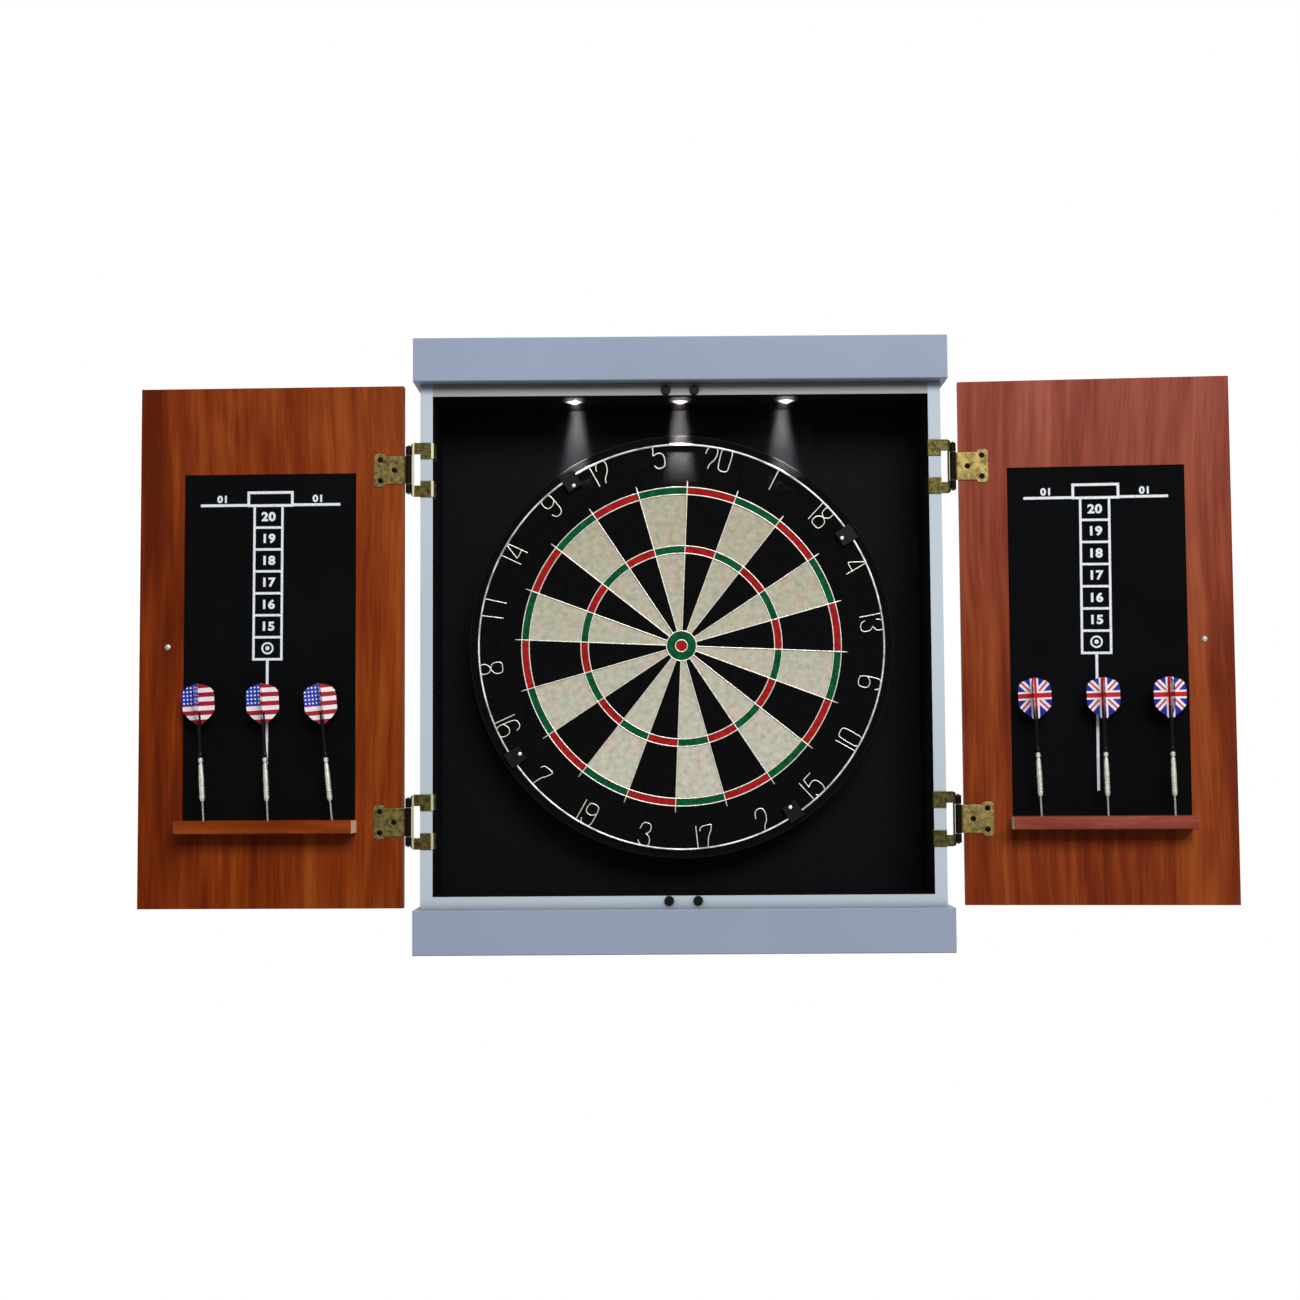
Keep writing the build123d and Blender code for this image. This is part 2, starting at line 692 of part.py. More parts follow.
for name, side in sides.items():
    face = door_plane(side)

    with BuildPart() as door_panel:
        with BuildSketch(face.offset(-door_thickness)):
            with Locations((side * (door_edge + door_width / 2), 0)):
                Rectangle(door_width, door_height)
        extrude(amount=door_thickness)
        back_rim = door_panel.faces().sort_by(Axis(face.origin, face.z_dir))[0].edges()
        chamfer(back_rim, edge_break)
        with BuildSketch(face):
            with Locations((side * scoreboard_middle, 0)):
                Rectangle(scoreboard_width + 2 * scoreboard_fit, scoreboard_height + 2 * scoreboard_fit)
        extrude(amount=-pocket_depth, mode=Mode.SUBTRACT)
        for level in hinge_levels:
            for reach, height in door_leaf_screws:
                with Locations(on_door(side, reach, level + height)):
                    Hole(screw_shank_radius, depth=screw_length - leaf_thickness)
        with Locations(on_door(side, knob_reach, 0)):
            Hole(knob_screw_radius + knob_screw_clearance, depth=door_thickness)
    save(door_panel, f"{name}_door_panel")

    with BuildPart() as scoreboard:
        with BuildSketch(face.offset(-pocket_depth)):
            with Locations((side * scoreboard_middle, 0)):
                Rectangle(scoreboard_width, scoreboard_height)
        extrude(amount=scoreboard_thickness)
    save(scoreboard, f"{name}_scoreboard")

    shelf_face = Plane((face.origin.X, face.origin.Y, shelf_top), face.x_dir, (0, 0, 1))

    with BuildPart() as shelf:
        with BuildSketch(face):
            with Locations((side * scoreboard_middle, shelf_top - shelf_thickness / 2)):
                Rectangle(shelf_width, shelf_thickness)
        extrude(amount=shelf_depth)
        front_edges = shelf.faces().sort_by(Axis(face.origin, face.z_dir))[-1].edges()
        chamfer(front_edges, shelf_chamfer)
        with BuildSketch(shelf_face):
            with Locations((side * scoreboard_middle + dart_shift, -dart_stand)):
                with GridLocations(dart_pitch, 0, 3, 1):
                    Circle(dart_hole_radius)
        extrude(amount=-dart_hole_depth, mode=Mode.SUBTRACT)
    save(shelf, f"{name}_shelf")

    with BuildPart() as door_hinge_leaves:
        for level in hinge_levels:
            with BuildSketch(face) as leaf:
                plate_start = knuckle_radius - knuckle_overlap
                plate_reach = door_leaf_reach - plate_start
                with Locations((side * (plate_start + plate_reach / 2), level)):
                    RectangleRounded(plate_reach, door_leaf_height, mid_leaf_corner)
                with Locations((side * (door_leaf_reach - ear_width / 2), level)):
                    RectangleRounded(ear_width, ear_height, leaf_corner)
            extrude(amount=leaf_thickness)
            with BuildSketch(Plane.XY.offset(level - door_knuckle_length / 2)):
                with Locations((side * hinge_x, -hinge_distance)):
                    Circle(knuckle_radius)
            extrude(amount=door_knuckle_length)
            with BuildSketch(Plane.XY.offset(level - door_knuckle_length / 2)):
                with Locations((side * hinge_x, -hinge_distance)):
                    Circle(pin_bore)
            extrude(amount=door_knuckle_length, mode=Mode.SUBTRACT)
            for reach, height in door_leaf_screws:
                with Locations(on_door(side, reach, level + height, leaf_thickness)):
                    CounterSinkHole(
                        screw_shank_radius,
                        screw_head_radius,
                        depth=leaf_thickness,
                        counter_sink_angle=screw_angle,
                    )
    save(door_hinge_leaves, f"{name}_door_hinge_leaves")

    with BuildPart() as hinge_screws:
        for level in hinge_levels:
            for reach, height in door_leaf_screws:
                add_screw(on_door(side, reach, level + height, leaf_thickness), leaf_thickness, screw_length)
    save(hinge_screws, f"{name}_door_hinge_screws")

    inner_seat = on_door(side, knob_reach, 0)
    outer_seat = Plane(on_door(side, knob_reach, 0, -door_thickness).origin, face.x_dir, -face.z_dir)

    with BuildPart() as knob:
        with BuildSketch(axial_plane(outer_seat)):
            with BuildLine():
                Polyline(
                    (knob_screw_radius, knob_bore_depth),
                    (knob_screw_radius, 0),
                    (knob_base_radius, 0),
                    (knob_base_radius, edge_break),
                )
                Spline(
                    (knob_base_radius, edge_break),
                    (knob_neck_radius, knob_height * 0.35),
                    (knob_radius, knob_height * 0.7),
                    tangents=((-1, 1), (0, 1)),
                )
                Spline((knob_radius, knob_height * 0.7), (0, knob_height), tangents=((0, 1), (-1, 0)))
                Polyline((0, knob_height), (0, knob_bore_depth), (knob_screw_radius, knob_bore_depth))
            make_face()
        revolve(axis=seat_axis(outer_seat))
    save(knob, f"{name}_knob")

    with BuildPart() as knob_screw:
        with BuildSketch(axial_plane(inner_seat)):
            with BuildLine():
                Polyline(
                    (0, knob_screw_head_height),
                    (0, -door_thickness - knob_bore_depth),
                    (knob_screw_radius, -door_thickness - knob_bore_depth),
                    (knob_screw_radius, 0),
                    (knob_screw_head_radius, 0),
                )
                TangentArc((0, knob_screw_head_height), (knob_screw_head_radius, 0), tangent=(1, 0))
            make_face()
        revolve(axis=seat_axis(inner_seat))
        with BuildSketch(inner_seat.offset(knob_screw_head_height)):
            Rectangle(recess_length, recess_width)
            Rectangle(recess_width, recess_length)
        extrude(amount=-recess_depth, mode=Mode.SUBTRACT)
    save(knob_screw, f"{name}_knob_screw")

# Darts --------------------------------------------------------------------------------------


def dart_seat(side, place, lean, roll):
    # from the tip up along the dart, which leans a little in its shelf hole
    face = door_plane(side)
    upright = Vector(0, 0, 1).rotate(Axis((0, 0, 0), face.z_dir), lean)
    across = face.x_dir.rotate(Axis((0, 0, 0), face.z_dir), lean)
    across = across.rotate(Axis((0, 0, 0), upright), roll)
    reach = side * scoreboard_middle + dart_shift + place * dart_pitch
    middle = face.from_local_coords((reach, shelf_top - dart_hole_depth / 2, dart_stand))
    tip = middle - upright * (dart_hole_depth / 2 - dart_seat_gap)
    return Plane(tip, x_dir=across, z_dir=upright)


def build_dart(seat, label):
    profile_plane = axial_plane(seat)
    axis = seat_axis(seat)

    with BuildPart() as point:
        with BuildSketch(profile_plane):
            with BuildLine():
                Polyline(
                    (0, 0),
                    (point_radius * 0.25, point_radius * 0.25),
                    (point_radius, point_taper),
                    (point_radius, point_length + point_root),
                    (0, point_length + point_root),
                    close=True,
                )
            make_face()
        revolve(axis=axis)
    save(point, f"{label}_point")

    collar_start = barrel_back - collar_length

    with BuildPart() as barrel:
        with BuildSketch(profile_plane):
            with BuildLine():
                Polyline(
                    (point_radius, point_length),
                    (barrel_radius * 0.75, point_length),
                    (barrel_radius, point_length + barrel_radius),
                    (barrel_radius, point_length + barrel_length / 2),
                    (barrel_rear_radius, collar_start - 2 * groove_pitch / 3),
                    (barrel_neck_radius, collar_start - groove_pitch / 3),
                    (barrel_neck_radius, collar_start),
                    (collar_radius, collar_start + groove_width),
                    (collar_radius, barrel_back - groove_width),
                    (barrel_neck_radius, barrel_back),
                    (stem_thread_radius, barrel_back),
                    (stem_thread_radius, barrel_back - stem_thread_length),
                    (0, barrel_back - stem_thread_length),
                    (0, point_length + point_root),
                    (point_radius, point_length + point_root),
                    close=True,
                )
            make_face()
        revolve(axis=axis)
        with BuildSketch(profile_plane):
            for groove in range(groove_count):
                start = point_length + barrel_radius + (groove + 1) * groove_pitch
                with Locations((barrel_radius, start)):
                    Rectangle(2 * groove_depth, groove_width)
        revolve(axis=axis, mode=Mode.SUBTRACT)
    save(barrel, f"{label}_barrel")

    finger_end = flight_start + stem_finger_length

    with BuildPart() as stem:
        with BuildSketch(profile_plane):
            with BuildLine():
                Polyline(
                    (0, barrel_back - stem_thread_length),
                    (stem_thread_radius, barrel_back - stem_thread_length),
                    (stem_thread_radius, barrel_back),
                    (stem_finger_radius, barrel_back),
                    (stem_finger_radius, barrel_back + collar_length / 2),
                    (stem_radius, barrel_back + collar_length),
                    (stem_radius, flight_start - stem_finger_length),
                    (stem_finger_radius, flight_start),
                    (stem_radius, finger_end),
                    (0, finger_end),
                    close=True,
                )
            make_face()
        revolve(axis=axis)
        with BuildSketch(seat.offset(finger_end)):
            slot_width = flight_thickness + 2 * flight_fit
            Rectangle(2 * stem_finger_radius, slot_width)
            Rectangle(slot_width, 2 * stem_finger_radius)
        extrude(amount=-stem_finger_length, mode=Mode.SUBTRACT)
    save(stem, f"{label}_stem")

    with BuildPart() as flight:
        for wing_plane in (profile_plane, Plane(seat.origin, -seat.y_dir, -seat.x_dir)):
            with BuildSketch(wing_plane):
                with BuildLine():
                    Polyline(
                        (0, flight_start + flight_fit),
                        (flight_radius * 0.2, flight_start + flight_fit),
                        (flight_radius, flight_start + flight_length * 0.31),
                        (flight_radius, flight_start + flight_length * 0.79),
                        (flight_radius * 0.74, flight_start + flight_length * 0.92),
                        (0, flight_start + flight_length),
                        close=True,
                    )
                make_face()
                mirror(about=Plane.YZ)
            extrude(amount=flight_thickness / 2, both=True)
    save(flight, f"{label}_flight")


for name, side in sides.items():
    leans = left_dart_leans if side < 0 else right_dart_leans
    rolls = left_dart_rolls if side < 0 else right_dart_rolls
    for place, lean, roll in zip((-1, 0, 1), leans, rolls):
        build_dart(dart_seat(side, place, lean, roll), f"{name}_dart_{place + 2}")
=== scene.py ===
import json
import math
from functools import partial

import bmesh
import bpy
from mathutils import Matrix, Vector


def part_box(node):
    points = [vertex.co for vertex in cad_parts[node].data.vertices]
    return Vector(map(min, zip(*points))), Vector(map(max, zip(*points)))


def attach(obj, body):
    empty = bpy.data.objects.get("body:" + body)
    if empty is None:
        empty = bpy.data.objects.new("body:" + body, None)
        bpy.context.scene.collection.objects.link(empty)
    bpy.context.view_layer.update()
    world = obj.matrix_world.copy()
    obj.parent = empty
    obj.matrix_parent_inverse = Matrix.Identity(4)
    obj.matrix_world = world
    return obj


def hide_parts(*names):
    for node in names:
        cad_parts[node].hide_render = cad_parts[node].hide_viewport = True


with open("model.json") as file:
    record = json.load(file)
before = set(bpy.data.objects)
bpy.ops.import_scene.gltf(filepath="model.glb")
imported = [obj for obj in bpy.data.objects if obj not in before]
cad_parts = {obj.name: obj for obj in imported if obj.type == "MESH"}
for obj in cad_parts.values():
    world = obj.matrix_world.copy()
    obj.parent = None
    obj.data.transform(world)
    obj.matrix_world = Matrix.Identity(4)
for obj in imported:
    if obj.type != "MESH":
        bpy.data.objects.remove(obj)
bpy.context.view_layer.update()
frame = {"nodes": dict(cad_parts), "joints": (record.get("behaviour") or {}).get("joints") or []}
nodes = frame["nodes"]
joints = {joint["name"]: joint for joint in frame["joints"]}
mm = 0.001
square = ((-1, -1), (1, -1), (1, 1), (-1, 1))


def hexColour(code):
    # sRGB hex to the linear colour that the sockets hold
    channels = [int(code[i:i + 2], 16) / 255 for i in (1, 3, 5)]
    return (*[c / 12.92 if c <= 0.04045 else ((c + 0.055) / 1.055) ** 2.4 for c in channels], 1.0)


def addNode(tree, kind, inputs=(), stops=(), **settings):
    # one node: its settings, its ramp's stops, and each input as a value, a hex colour or a link,
    # where another node stands for its first output in use; a pattern's scale counts per metre
    node = tree.nodes.new(kind)
    for name, value in settings.items():
        setattr(node, name, value)
    for index, (place, colour) in enumerate(stops):
        elements = node.color_ramp.elements
        element = elements[index] if index < len(elements) else elements.new(place)
        element.position = place
        element.color = hexColour(colour)
    for socket, value in inputs.items() if isinstance(inputs, dict) else enumerate(inputs):
        if isinstance(value, bpy.types.Node):
            value = next(output for output in value.outputs if output.enabled)
        if isinstance(value, bpy.types.NodeSocket):
            tree.links.new(value, node.inputs[socket])
        else:
            node.inputs[socket].default_value = hexColour(value) if isinstance(value, str) else value
    return node


def emptyTree(owner):
    # empties a material's, lamp's or world's tree, and gives what adds nodes to it
    owner.use_nodes = True
    owner.node_tree.nodes.clear()
    return partial(addNode, owner.node_tree)


def startFinish(name):
    # an empty material, what adds to its tree, and the coordinates that stay with the piece
    material = bpy.data.materials.new(name)
    add = emptyTree(material)
    return material, add, add("ShaderNodeTexCoord").outputs["Object"]


def endFinish(material, surface):
    # the shader and the output
    shader = addNode(material.node_tree, "ShaderNodeBsdfPrincipled", surface)
    addNode(material.node_tree, "ShaderNodeOutputMaterial", [shader])
    return material


def addObject(name, data):
    # an object in the scene
    made = bpy.data.objects.new(name, data)
    bpy.context.scene.collection.objects.link(made)
    return made


def dress(material, *names):
    # a CAD node keeps its shape and takes a finish
    for name in names:
        nodes[name].data.materials.clear()
        nodes[name].data.materials.append(material)


def addPiece(name, mesh, material, body):
    # a piece of the scene's own, in place in its mesh, that moves with a body
    piece = addObject(name, mesh)
    mesh.materials.clear()
    mesh.materials.append(material)
    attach(piece, body)
    return piece


def plainMesh(source):
    # what a curve, a text or a node tree makes, as a mesh of its own
    bpy.context.view_layer.update()
    mesh = bpy.data.meshes.new_from_object(source.evaluated_get(bpy.context.evaluated_depsgraph_get()))
    bpy.data.objects.remove(source)
    return mesh


def startTree(name, sizes):
    # a Geometry Nodes tree with one named input for each size
    tree = bpy.data.node_groups.new(name, "GeometryNodeTree")
    for label, value in sizes.items():
        kind = "NodeSocketInt" if isinstance(value, int) else "NodeSocketFloat"
        tree.interface.new_socket(label, in_out="INPUT", socket_type=kind)
    tree.interface.new_socket("Geometry", in_out="OUTPUT", socket_type="NodeSocketGeometry")
    add = partial(addNode, tree)
    return tree, add, add("NodeGroupInput").outputs


def growTree(tree, sizes, distance, geometry, material):
    # stands up what lies flat, ends the tree, runs it on an empty object and keeps the result
    add = partial(addNode, tree)
    stood = add("GeometryNodeTransform", {
        "Geometry": geometry,
        "Translation": add("ShaderNodeCombineXYZ", {"Y": distance}),
        "Rotation": (math.pi / 2, 0, 0),
    })
    smooth = add("GeometryNodeSetShadeSmooth", [stood])
    whole = add("GeometryNodeRealizeInstances", [smooth])
    painted = add("GeometryNodeSetMaterial", {"Geometry": whole, "Material": material})
    add("NodeGroupOutput", [painted])
    host = addObject(tree.name, bpy.data.meshes.new(tree.name))
    modifier = host.modifiers.new("grow", "NODES")
    modifier.node_group = tree
    for socket in tree.interface.items_tree:
        if socket.in_out == "INPUT":
            modifier[socket.identifier] = sizes[socket.name]
    return plainMesh(host)


# the view: a little below the middle, looking slightly up
view = {"place": (-0.026, -2.093, -0.129), "pitch": 3.5, "yaw": 0.21, "roll": 0.36, "lens": 53.2}
camera = addObject("camera", bpy.data.cameras.new("camera"))
camera.data.lens = view["lens"]
camera.matrix_world = (
    Matrix.Translation(view["place"])
    @ Matrix.Rotation(math.radians(view["yaw"]), 4, "Z")
    @ Matrix.Rotation(math.radians(90 + view["pitch"]), 4, "X")
    @ Matrix.Rotation(math.radians(-view["roll"]), 4, "Z")
)
bpy.context.scene.camera = camera

# soft boxes: the key high in front to the right, a weak one at each side, one for the back
softBoxes = {
    "key": {"place": (1.2, -4.9, 2.7), "size": (3.3, 2.1), "power": 303},
    "left": {"place": (-2.9, -0.1, 1.2), "size": (1.6, 1.6), "power": 34},
    "right": {"place": (2.9, -0.1, 1.2), "size": (1.6, 1.6), "power": 34},
    "rear": {"place": (0.8, 2.9, 1.7), "size": (2.2, 2.2), "power": 95},
}
for name, box in softBoxes.items():
    lamp = addObject(name, bpy.data.lights.new(name, "AREA"))
    lamp.data.shape = "RECTANGLE"
    lamp.data.size, lamp.data.size_y = box["size"]
    lamp.data.energy = box["power"]
    lamp.location = box["place"]
    lamp.rotation_euler = (-Vector(box["place"])).to_track_quat("-Z", "Y").to_euler()
    lamp.visible_glossy = name == "key"  # the others leave no hot spots in the gloss


def whereSeen(add):
    # 1 where a surface is seen or mirrored, 0 where it lights another
    rays = add("ShaderNodeLightPath").outputs
    seen = rays["Is Camera Ray"]
    for kind in ("Is Transmission Ray", "Is Glossy Ray"):
        seen = add("ShaderNodeMath", [seen, rays[kind]], operation="MAXIMUM")
    return seen


# white where it is seen or mirrored, less where it lights
room = {"colour": "#ffffff", "light": 0.1}
world = bpy.data.worlds.new("studio")
bpy.context.scene.world = world
add = emptyTree(world)
strength = add("ShaderNodeMath", [whereSeen(add), room["light"]], operation="MAXIMUM")
add("ShaderNodeOutputWorld", [add("ShaderNodeBackground", [room["colour"], strength])])
bpy.context.scene.view_settings.view_transform = "Standard"

# the cabinet's own lamps are on: each throws a narrow beam down the back panel and the board
lampGlow = {
    "power": 20.0,
    "tint": "#fef8f4",
    "radius": 4 * mm,
    "below": 1 * mm,  # the lens
    "start": 0.07,  # half width, as a share of the reach towards the wall
    "spread": 0.16,  # and of the drop
    "edge": (1.6, 0.4),  # of the half width: where the light is gone, and where it is full
    "leastReach": 1 * mm,
    # strength by the drop for each unit of reach, over the range of slopes
    "slopes": (-0.3, 4.5),
    "strengths": [
        (0.03, "#ffffff"), (0.048, "#717171"), (0.25, "#8b8b8b"), (0.34, "#808080"),
        (0.41, "#b0b0b0"), (0.75, "#fbfbfb"), (0.82, "#ffffff"), (0.94, "#000000"),
    ],
}


def growBeam(lamp):
    # the light's shape, by direction
    add = emptyTree(lamp)
    ways = add("ShaderNodeSeparateXYZ", [add("ShaderNodeTexCoord").outputs["Normal"]]).outputs
    across = add("ShaderNodeMath", [ways["X"]], operation="ABSOLUTE")
    reach = add("ShaderNodeMath", [ways["Y"], lampGlow["leastReach"]], operation="MAXIMUM")
    fall = add("ShaderNodeMath", [ways["Z"], -1.0], operation="MULTIPLY")
    drop = add("ShaderNodeMath", [fall, 0.0], operation="MAXIMUM")
    width = add("ShaderNodeMath", [reach, lampGlow["start"]], operation="MULTIPLY")
    width = add("ShaderNodeMath", [drop, lampGlow["spread"], width], operation="MULTIPLY_ADD")
    share = add("ShaderNodeMath", [across, width], operation="DIVIDE")
    beam = add("ShaderNodeMapRange", [share, *lampGlow["edge"]], interpolation_type="SMOOTHSTEP")
    slope = add("ShaderNodeMath", [fall, reach], operation="DIVIDE")
    slope = add("ShaderNodeMapRange", [slope, *lampGlow["slopes"]])
    strength = add("ShaderNodeValToRGB", [slope], stops=lampGlow["strengths"])
    beam = add("ShaderNodeMath", [beam, strength], operation="MULTIPLY")
    add("ShaderNodeOutputLight", [add("ShaderNodeEmission", {"Color": lampGlow["tint"], "Strength": beam})])


# three round lenses in a row
lensLow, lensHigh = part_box("lamp_lenses")
lensMiddle = (lensLow.y + lensHigh.y) / 2
lensRadius = (lensHigh.y - lensLow.y) / 2
lensPitch = (lensHigh.x - lensLow.x) / 2 - lensRadius
for number in range(3):
    glow = addObject(f"lampGlow{number + 1}", bpy.data.lights.new("lampGlow", "POINT"))
    glow.data.energy = lampGlow["power"]
    glow.data.shadow_soft_size = lampGlow["radius"]
    across = lensLow.x + lensRadius + number * lensPitch
    glow.location = (across, lensMiddle, lensLow.z - lampGlow["below"])
    growBeam(glow.data)

# a floor below the wall cabinet, small enough to stay under the front view;
# pale where it is seen, darker where it lights the cabinet from below
ground = {"half": 3.0, "level": -1.73, "seen": "#f2f2f0", "lighting": "#9c9c9a"}
corners = [(x * ground["half"], y * ground["half"], ground["level"]) for x, y in square]
floorMesh = bpy.data.meshes.new("floor")
floorMesh.from_pydata(corners, [], [(0, 1, 2, 3)])
floor = addObject("floor", floorMesh)
floorPaint, add = startFinish("paleFloor")[:2]
paint = {0: whereSeen(add), 6: ground["lighting"], 7: ground["seen"]}
endFinish(floorPaint, {
    "Base Color": add("ShaderNodeMix", paint, data_type="RGBA"),
    "Roughness": 0.7,
})
floorMesh.materials.append(floorPaint)
print("camera, lights and floor")


def satinLacquer(name, colour, shade, inside=None):
    # sprayed satin lacquer on MDF: even colour with a faint orange peel of 1.4 mm
    material, add, coords = startFinish(name)
    cloud = add("ShaderNodeTexNoise", {"Vector": coords, "Scale": 5, "Detail": 3})
    peel = add("ShaderNodeTexNoise", {"Vector": coords, "Scale": 700, "Detail": 2})
    paint = add("ShaderNodeValToRGB", [cloud], stops=[(0.3, shade), (0.7, colour)])
    if inside:
        # faces towards the cabinet's middle are another colour
        normal = add("ShaderNodeTexCoord").outputs["Normal"]
        outwards = add("ShaderNodeVectorMath", [normal, (1, 0, 1)], operation="MULTIPLY")
        outwards = add("ShaderNodeVectorMath", [coords, outwards], operation="DOT_PRODUCT")
        inner = add("ShaderNodeMath", [outwards, -50 * mm], operation="LESS_THAN")
        paint = add("ShaderNodeMix", {0: inner, 6: paint, 7: inside}, data_type="RGBA")
    # painted shade: darker near other surfaces, as under the caps and in the corners, from ambient occlusion
    clear = add("ShaderNodeAmbientOcclusion", {"Distance": 16 * mm}, samples=8).outputs["AO"]
    corners = add("ShaderNodeValToRGB", [clear], stops=[(0.35, "#8a8a88"), (0.8, "#ffffff")])
    paint = {0: 1.0, 6: paint, 7: corners}
    return endFinish(material, {
        "Base Color": add("ShaderNodeMix", paint, data_type="RGBA", blend_type="MULTIPLY"),
        "Roughness": 0.45,
        "Specular IOR Level": 0.15,
        "Normal": add("ShaderNodeBump", {"Height": peel, "Strength": 0.12, "Distance": 0.3 * mm}),
    })


dress(satinLacquer("capLacquer", "#98a3ba", "#919cb2"), "top_cap", "bottom_cap")
panelLacquer = satinLacquer("panelLacquer", "#c0cad4", "#b8c3cd", "#08080a")
dress(panelLacquer, "left_side_panel", "right_side_panel", "bottom_panel")
# painted shade: the top panel's lacquer is a darker, neutral grey, for the shade under the cap
dress(satinLacquer("shadedTopLacquer", "#a4a3a0", "#9b9a97", "#08080a"), "top_panel")


def blackHardboard():
    # hardboard: black lacquer towards the room, raw brown fibres of 4 mm towards the wall
    material, add, coords = startFinish("blackHardboard")
    fibres = add("ShaderNodeTexNoise", {"Vector": coords, "Scale": 260, "Detail": 6})
    black = add("ShaderNodeValToRGB", [fibres], stops=[(0.3, "#08080a"), (0.7, "#0e0e12")])
    raw = add("ShaderNodeValToRGB", [fibres], stops=[(0.3, "#5c4229"), (0.7, "#7b5c3c")])
    normal = add("ShaderNodeTexCoord").outputs["Normal"]
    towardsWall = add("ShaderNodeSeparateXYZ", [normal]).outputs["Y"]
    rear = add("ShaderNodeMath", [towardsWall, 0.5], operation="GREATER_THAN")
    return endFinish(material, {
        "Base Color": add("ShaderNodeMix", {0: rear, 6: black, 7: raw}, data_type="RGBA"),
        "Roughness": 0.5,
        "Specular IOR Level": 0.03,
        "Normal": add("ShaderNodeBump", {"Height": fibres, "Strength": 0.1, "Distance": 0.2 * mm}),
    })


dress(blackHardboard(), "back_panel")

veneer = {
    # soft bands about 50 mm wide, streaks about 11 mm apart, and fibres 2 to 3 mm apart, coarser
    # than real ones so that they show: each one's scale, weight and stretch along the grain
    "grain": ((20.0, 0.46, 0.09), (90.0, 0.46, 0.07), (380.0, 0.2, 0.03)),
    "balance": -0.05,
    "sway": 0.05,
    "arches": (9.0, 14.0, 0.05),  # scale, how many, weight
    "archStretch": 0.22,
    "pores": 800.0,
    "poreStretch": 0.04,
    "poreDepth": 0.35,
    "steps": (0.38, 0.49, 0.56, 0.68),
    "wood": ("#561a02", "#6f2805", "#7e330a", "#944615"),
    "rose": ("#7a3529", "#8b4235", "#964c3f", "#a55c4e"),
    "rosyHeights": (-50 * mm, 270 * mm),
    "doorMiddle": 430 * mm,  # from the middle of the cabinet, when open
}


def cherryVeneer(name, stretch, rosy, slope, rawEnds=False):
    # cherry veneer under a satin top coat: soft bands, long fine streaks, a few pores and arches
    material, add, coords = startFinish(name)
    slow = add("ShaderNodeMapping", {"Vector": coords, "Scale": (3, 3, 2)})
    sway = add("ShaderNodeTexNoise", {"Vector": slow, "Scale": 1, "Detail": 2}).outputs["Color"]
    shift = add("ShaderNodeVectorMath", [sway, (veneer["sway"], 0, 0)], operation="MULTIPLY")
    bent = add("ShaderNodeVectorMath", [coords, shift], operation="ADD")
    grain = veneer["balance"]
    for scale, weight, length in veneer["grain"]:
        along = add("ShaderNodeMapping", {"Vector": bent, "Scale": stretch(length)})
        lines = add("ShaderNodeTexNoise", {"Vector": along, "Scale": scale, "Detail": 4, "Roughness": 0.55})
        grain = add("ShaderNodeMath", [lines, weight, grain], operation="MULTIPLY_ADD")
    scale, count, weight = veneer["arches"]
    wide = add("ShaderNodeMapping", {"Vector": bent, "Scale": stretch(veneer["archStretch"])})
    arches = add("ShaderNodeTexNoise", {"Vector": wide, "Scale": scale, "Detail": 1, "Distortion": 0.6})
    arches = add("ShaderNodeMath", [arches, count], operation="MULTIPLY")
    arches = add("ShaderNodeMath", [arches, 1.0], operation="PINGPONG")
    grain = add("ShaderNodeMath", [arches, weight, grain], operation="MULTIPLY_ADD")
    # a slope makes the grain lighter towards the hinge
    places = add("ShaderNodeSeparateXYZ", [coords]).outputs
    reach = add("ShaderNodeMath", [places["X"]], operation="ABSOLUTE")
    reach = add("ShaderNodeMath", [reach, -slope, veneer["doorMiddle"] * slope], operation="MULTIPLY_ADD")
    grain = add("ShaderNodeMath", [grain, reach], operation="ADD")
    wood, rose = (
        add("ShaderNodeValToRGB", [grain], stops=zip(veneer["steps"], veneer[hue]))
        for hue in ("wood", "rose")
    )
    # painted light: the lighter, rosier ramp is mixed in by height, from the foot's share to the head's
    rosier = add("ShaderNodeMapRange", [places["Z"], *veneer["rosyHeights"], *rosy])
    wood = add("ShaderNodeMix", {0: rosier, 6: wood, 7: rose}, data_type="RGBA")
    short = add("ShaderNodeMapping", {"Vector": bent, "Scale": stretch(veneer["poreStretch"])})
    pores = add("ShaderNodeTexNoise", {"Vector": short, "Scale": veneer["pores"], "Detail": 2})
    pores = add("ShaderNodeValToRGB", [pores], stops=[(0.34, "#c4c4c4"), (0.44, "#ffffff")])
    colour = {0: veneer["poreDepth"], 6: wood, 7: pores}
    colour = add("ShaderNodeMix", colour, data_type="RGBA", blend_type="MULTIPLY")
    if rawEnds:
        # sawn ends of a shelf, left bare
        speck = add("ShaderNodeTexNoise", {"Vector": coords, "Scale": 500, "Detail": 3})
        raw = add("ShaderNodeValToRGB", [speck], stops=[(0.35, "#d9b08e"), (0.65, "#f2d6b8")])
        normal = add("ShaderNodeTexCoord").outputs["Normal"]
        sideways = add("ShaderNodeMath", [add("ShaderNodeSeparateXYZ", [normal])], operation="ABSOLUTE")
        bare = add("ShaderNodeMath", [sideways, 0.9], operation="GREATER_THAN")
        colour = add("ShaderNodeMix", {0: bare, 6: colour, 7: raw}, data_type="RGBA")
    return endFinish(material, {
        "Base Color": colour,
        "Roughness": 0.4,
        "Specular IOR Level": 0.06,
        "Normal": add("ShaderNodeBump", {"Height": lines, "Strength": 0.06, "Distance": 0.2 * mm}),
    })


# the grain's way
def upright(length):
    return (1, 1, length)


def level(length):
    return (length, 1, 1)
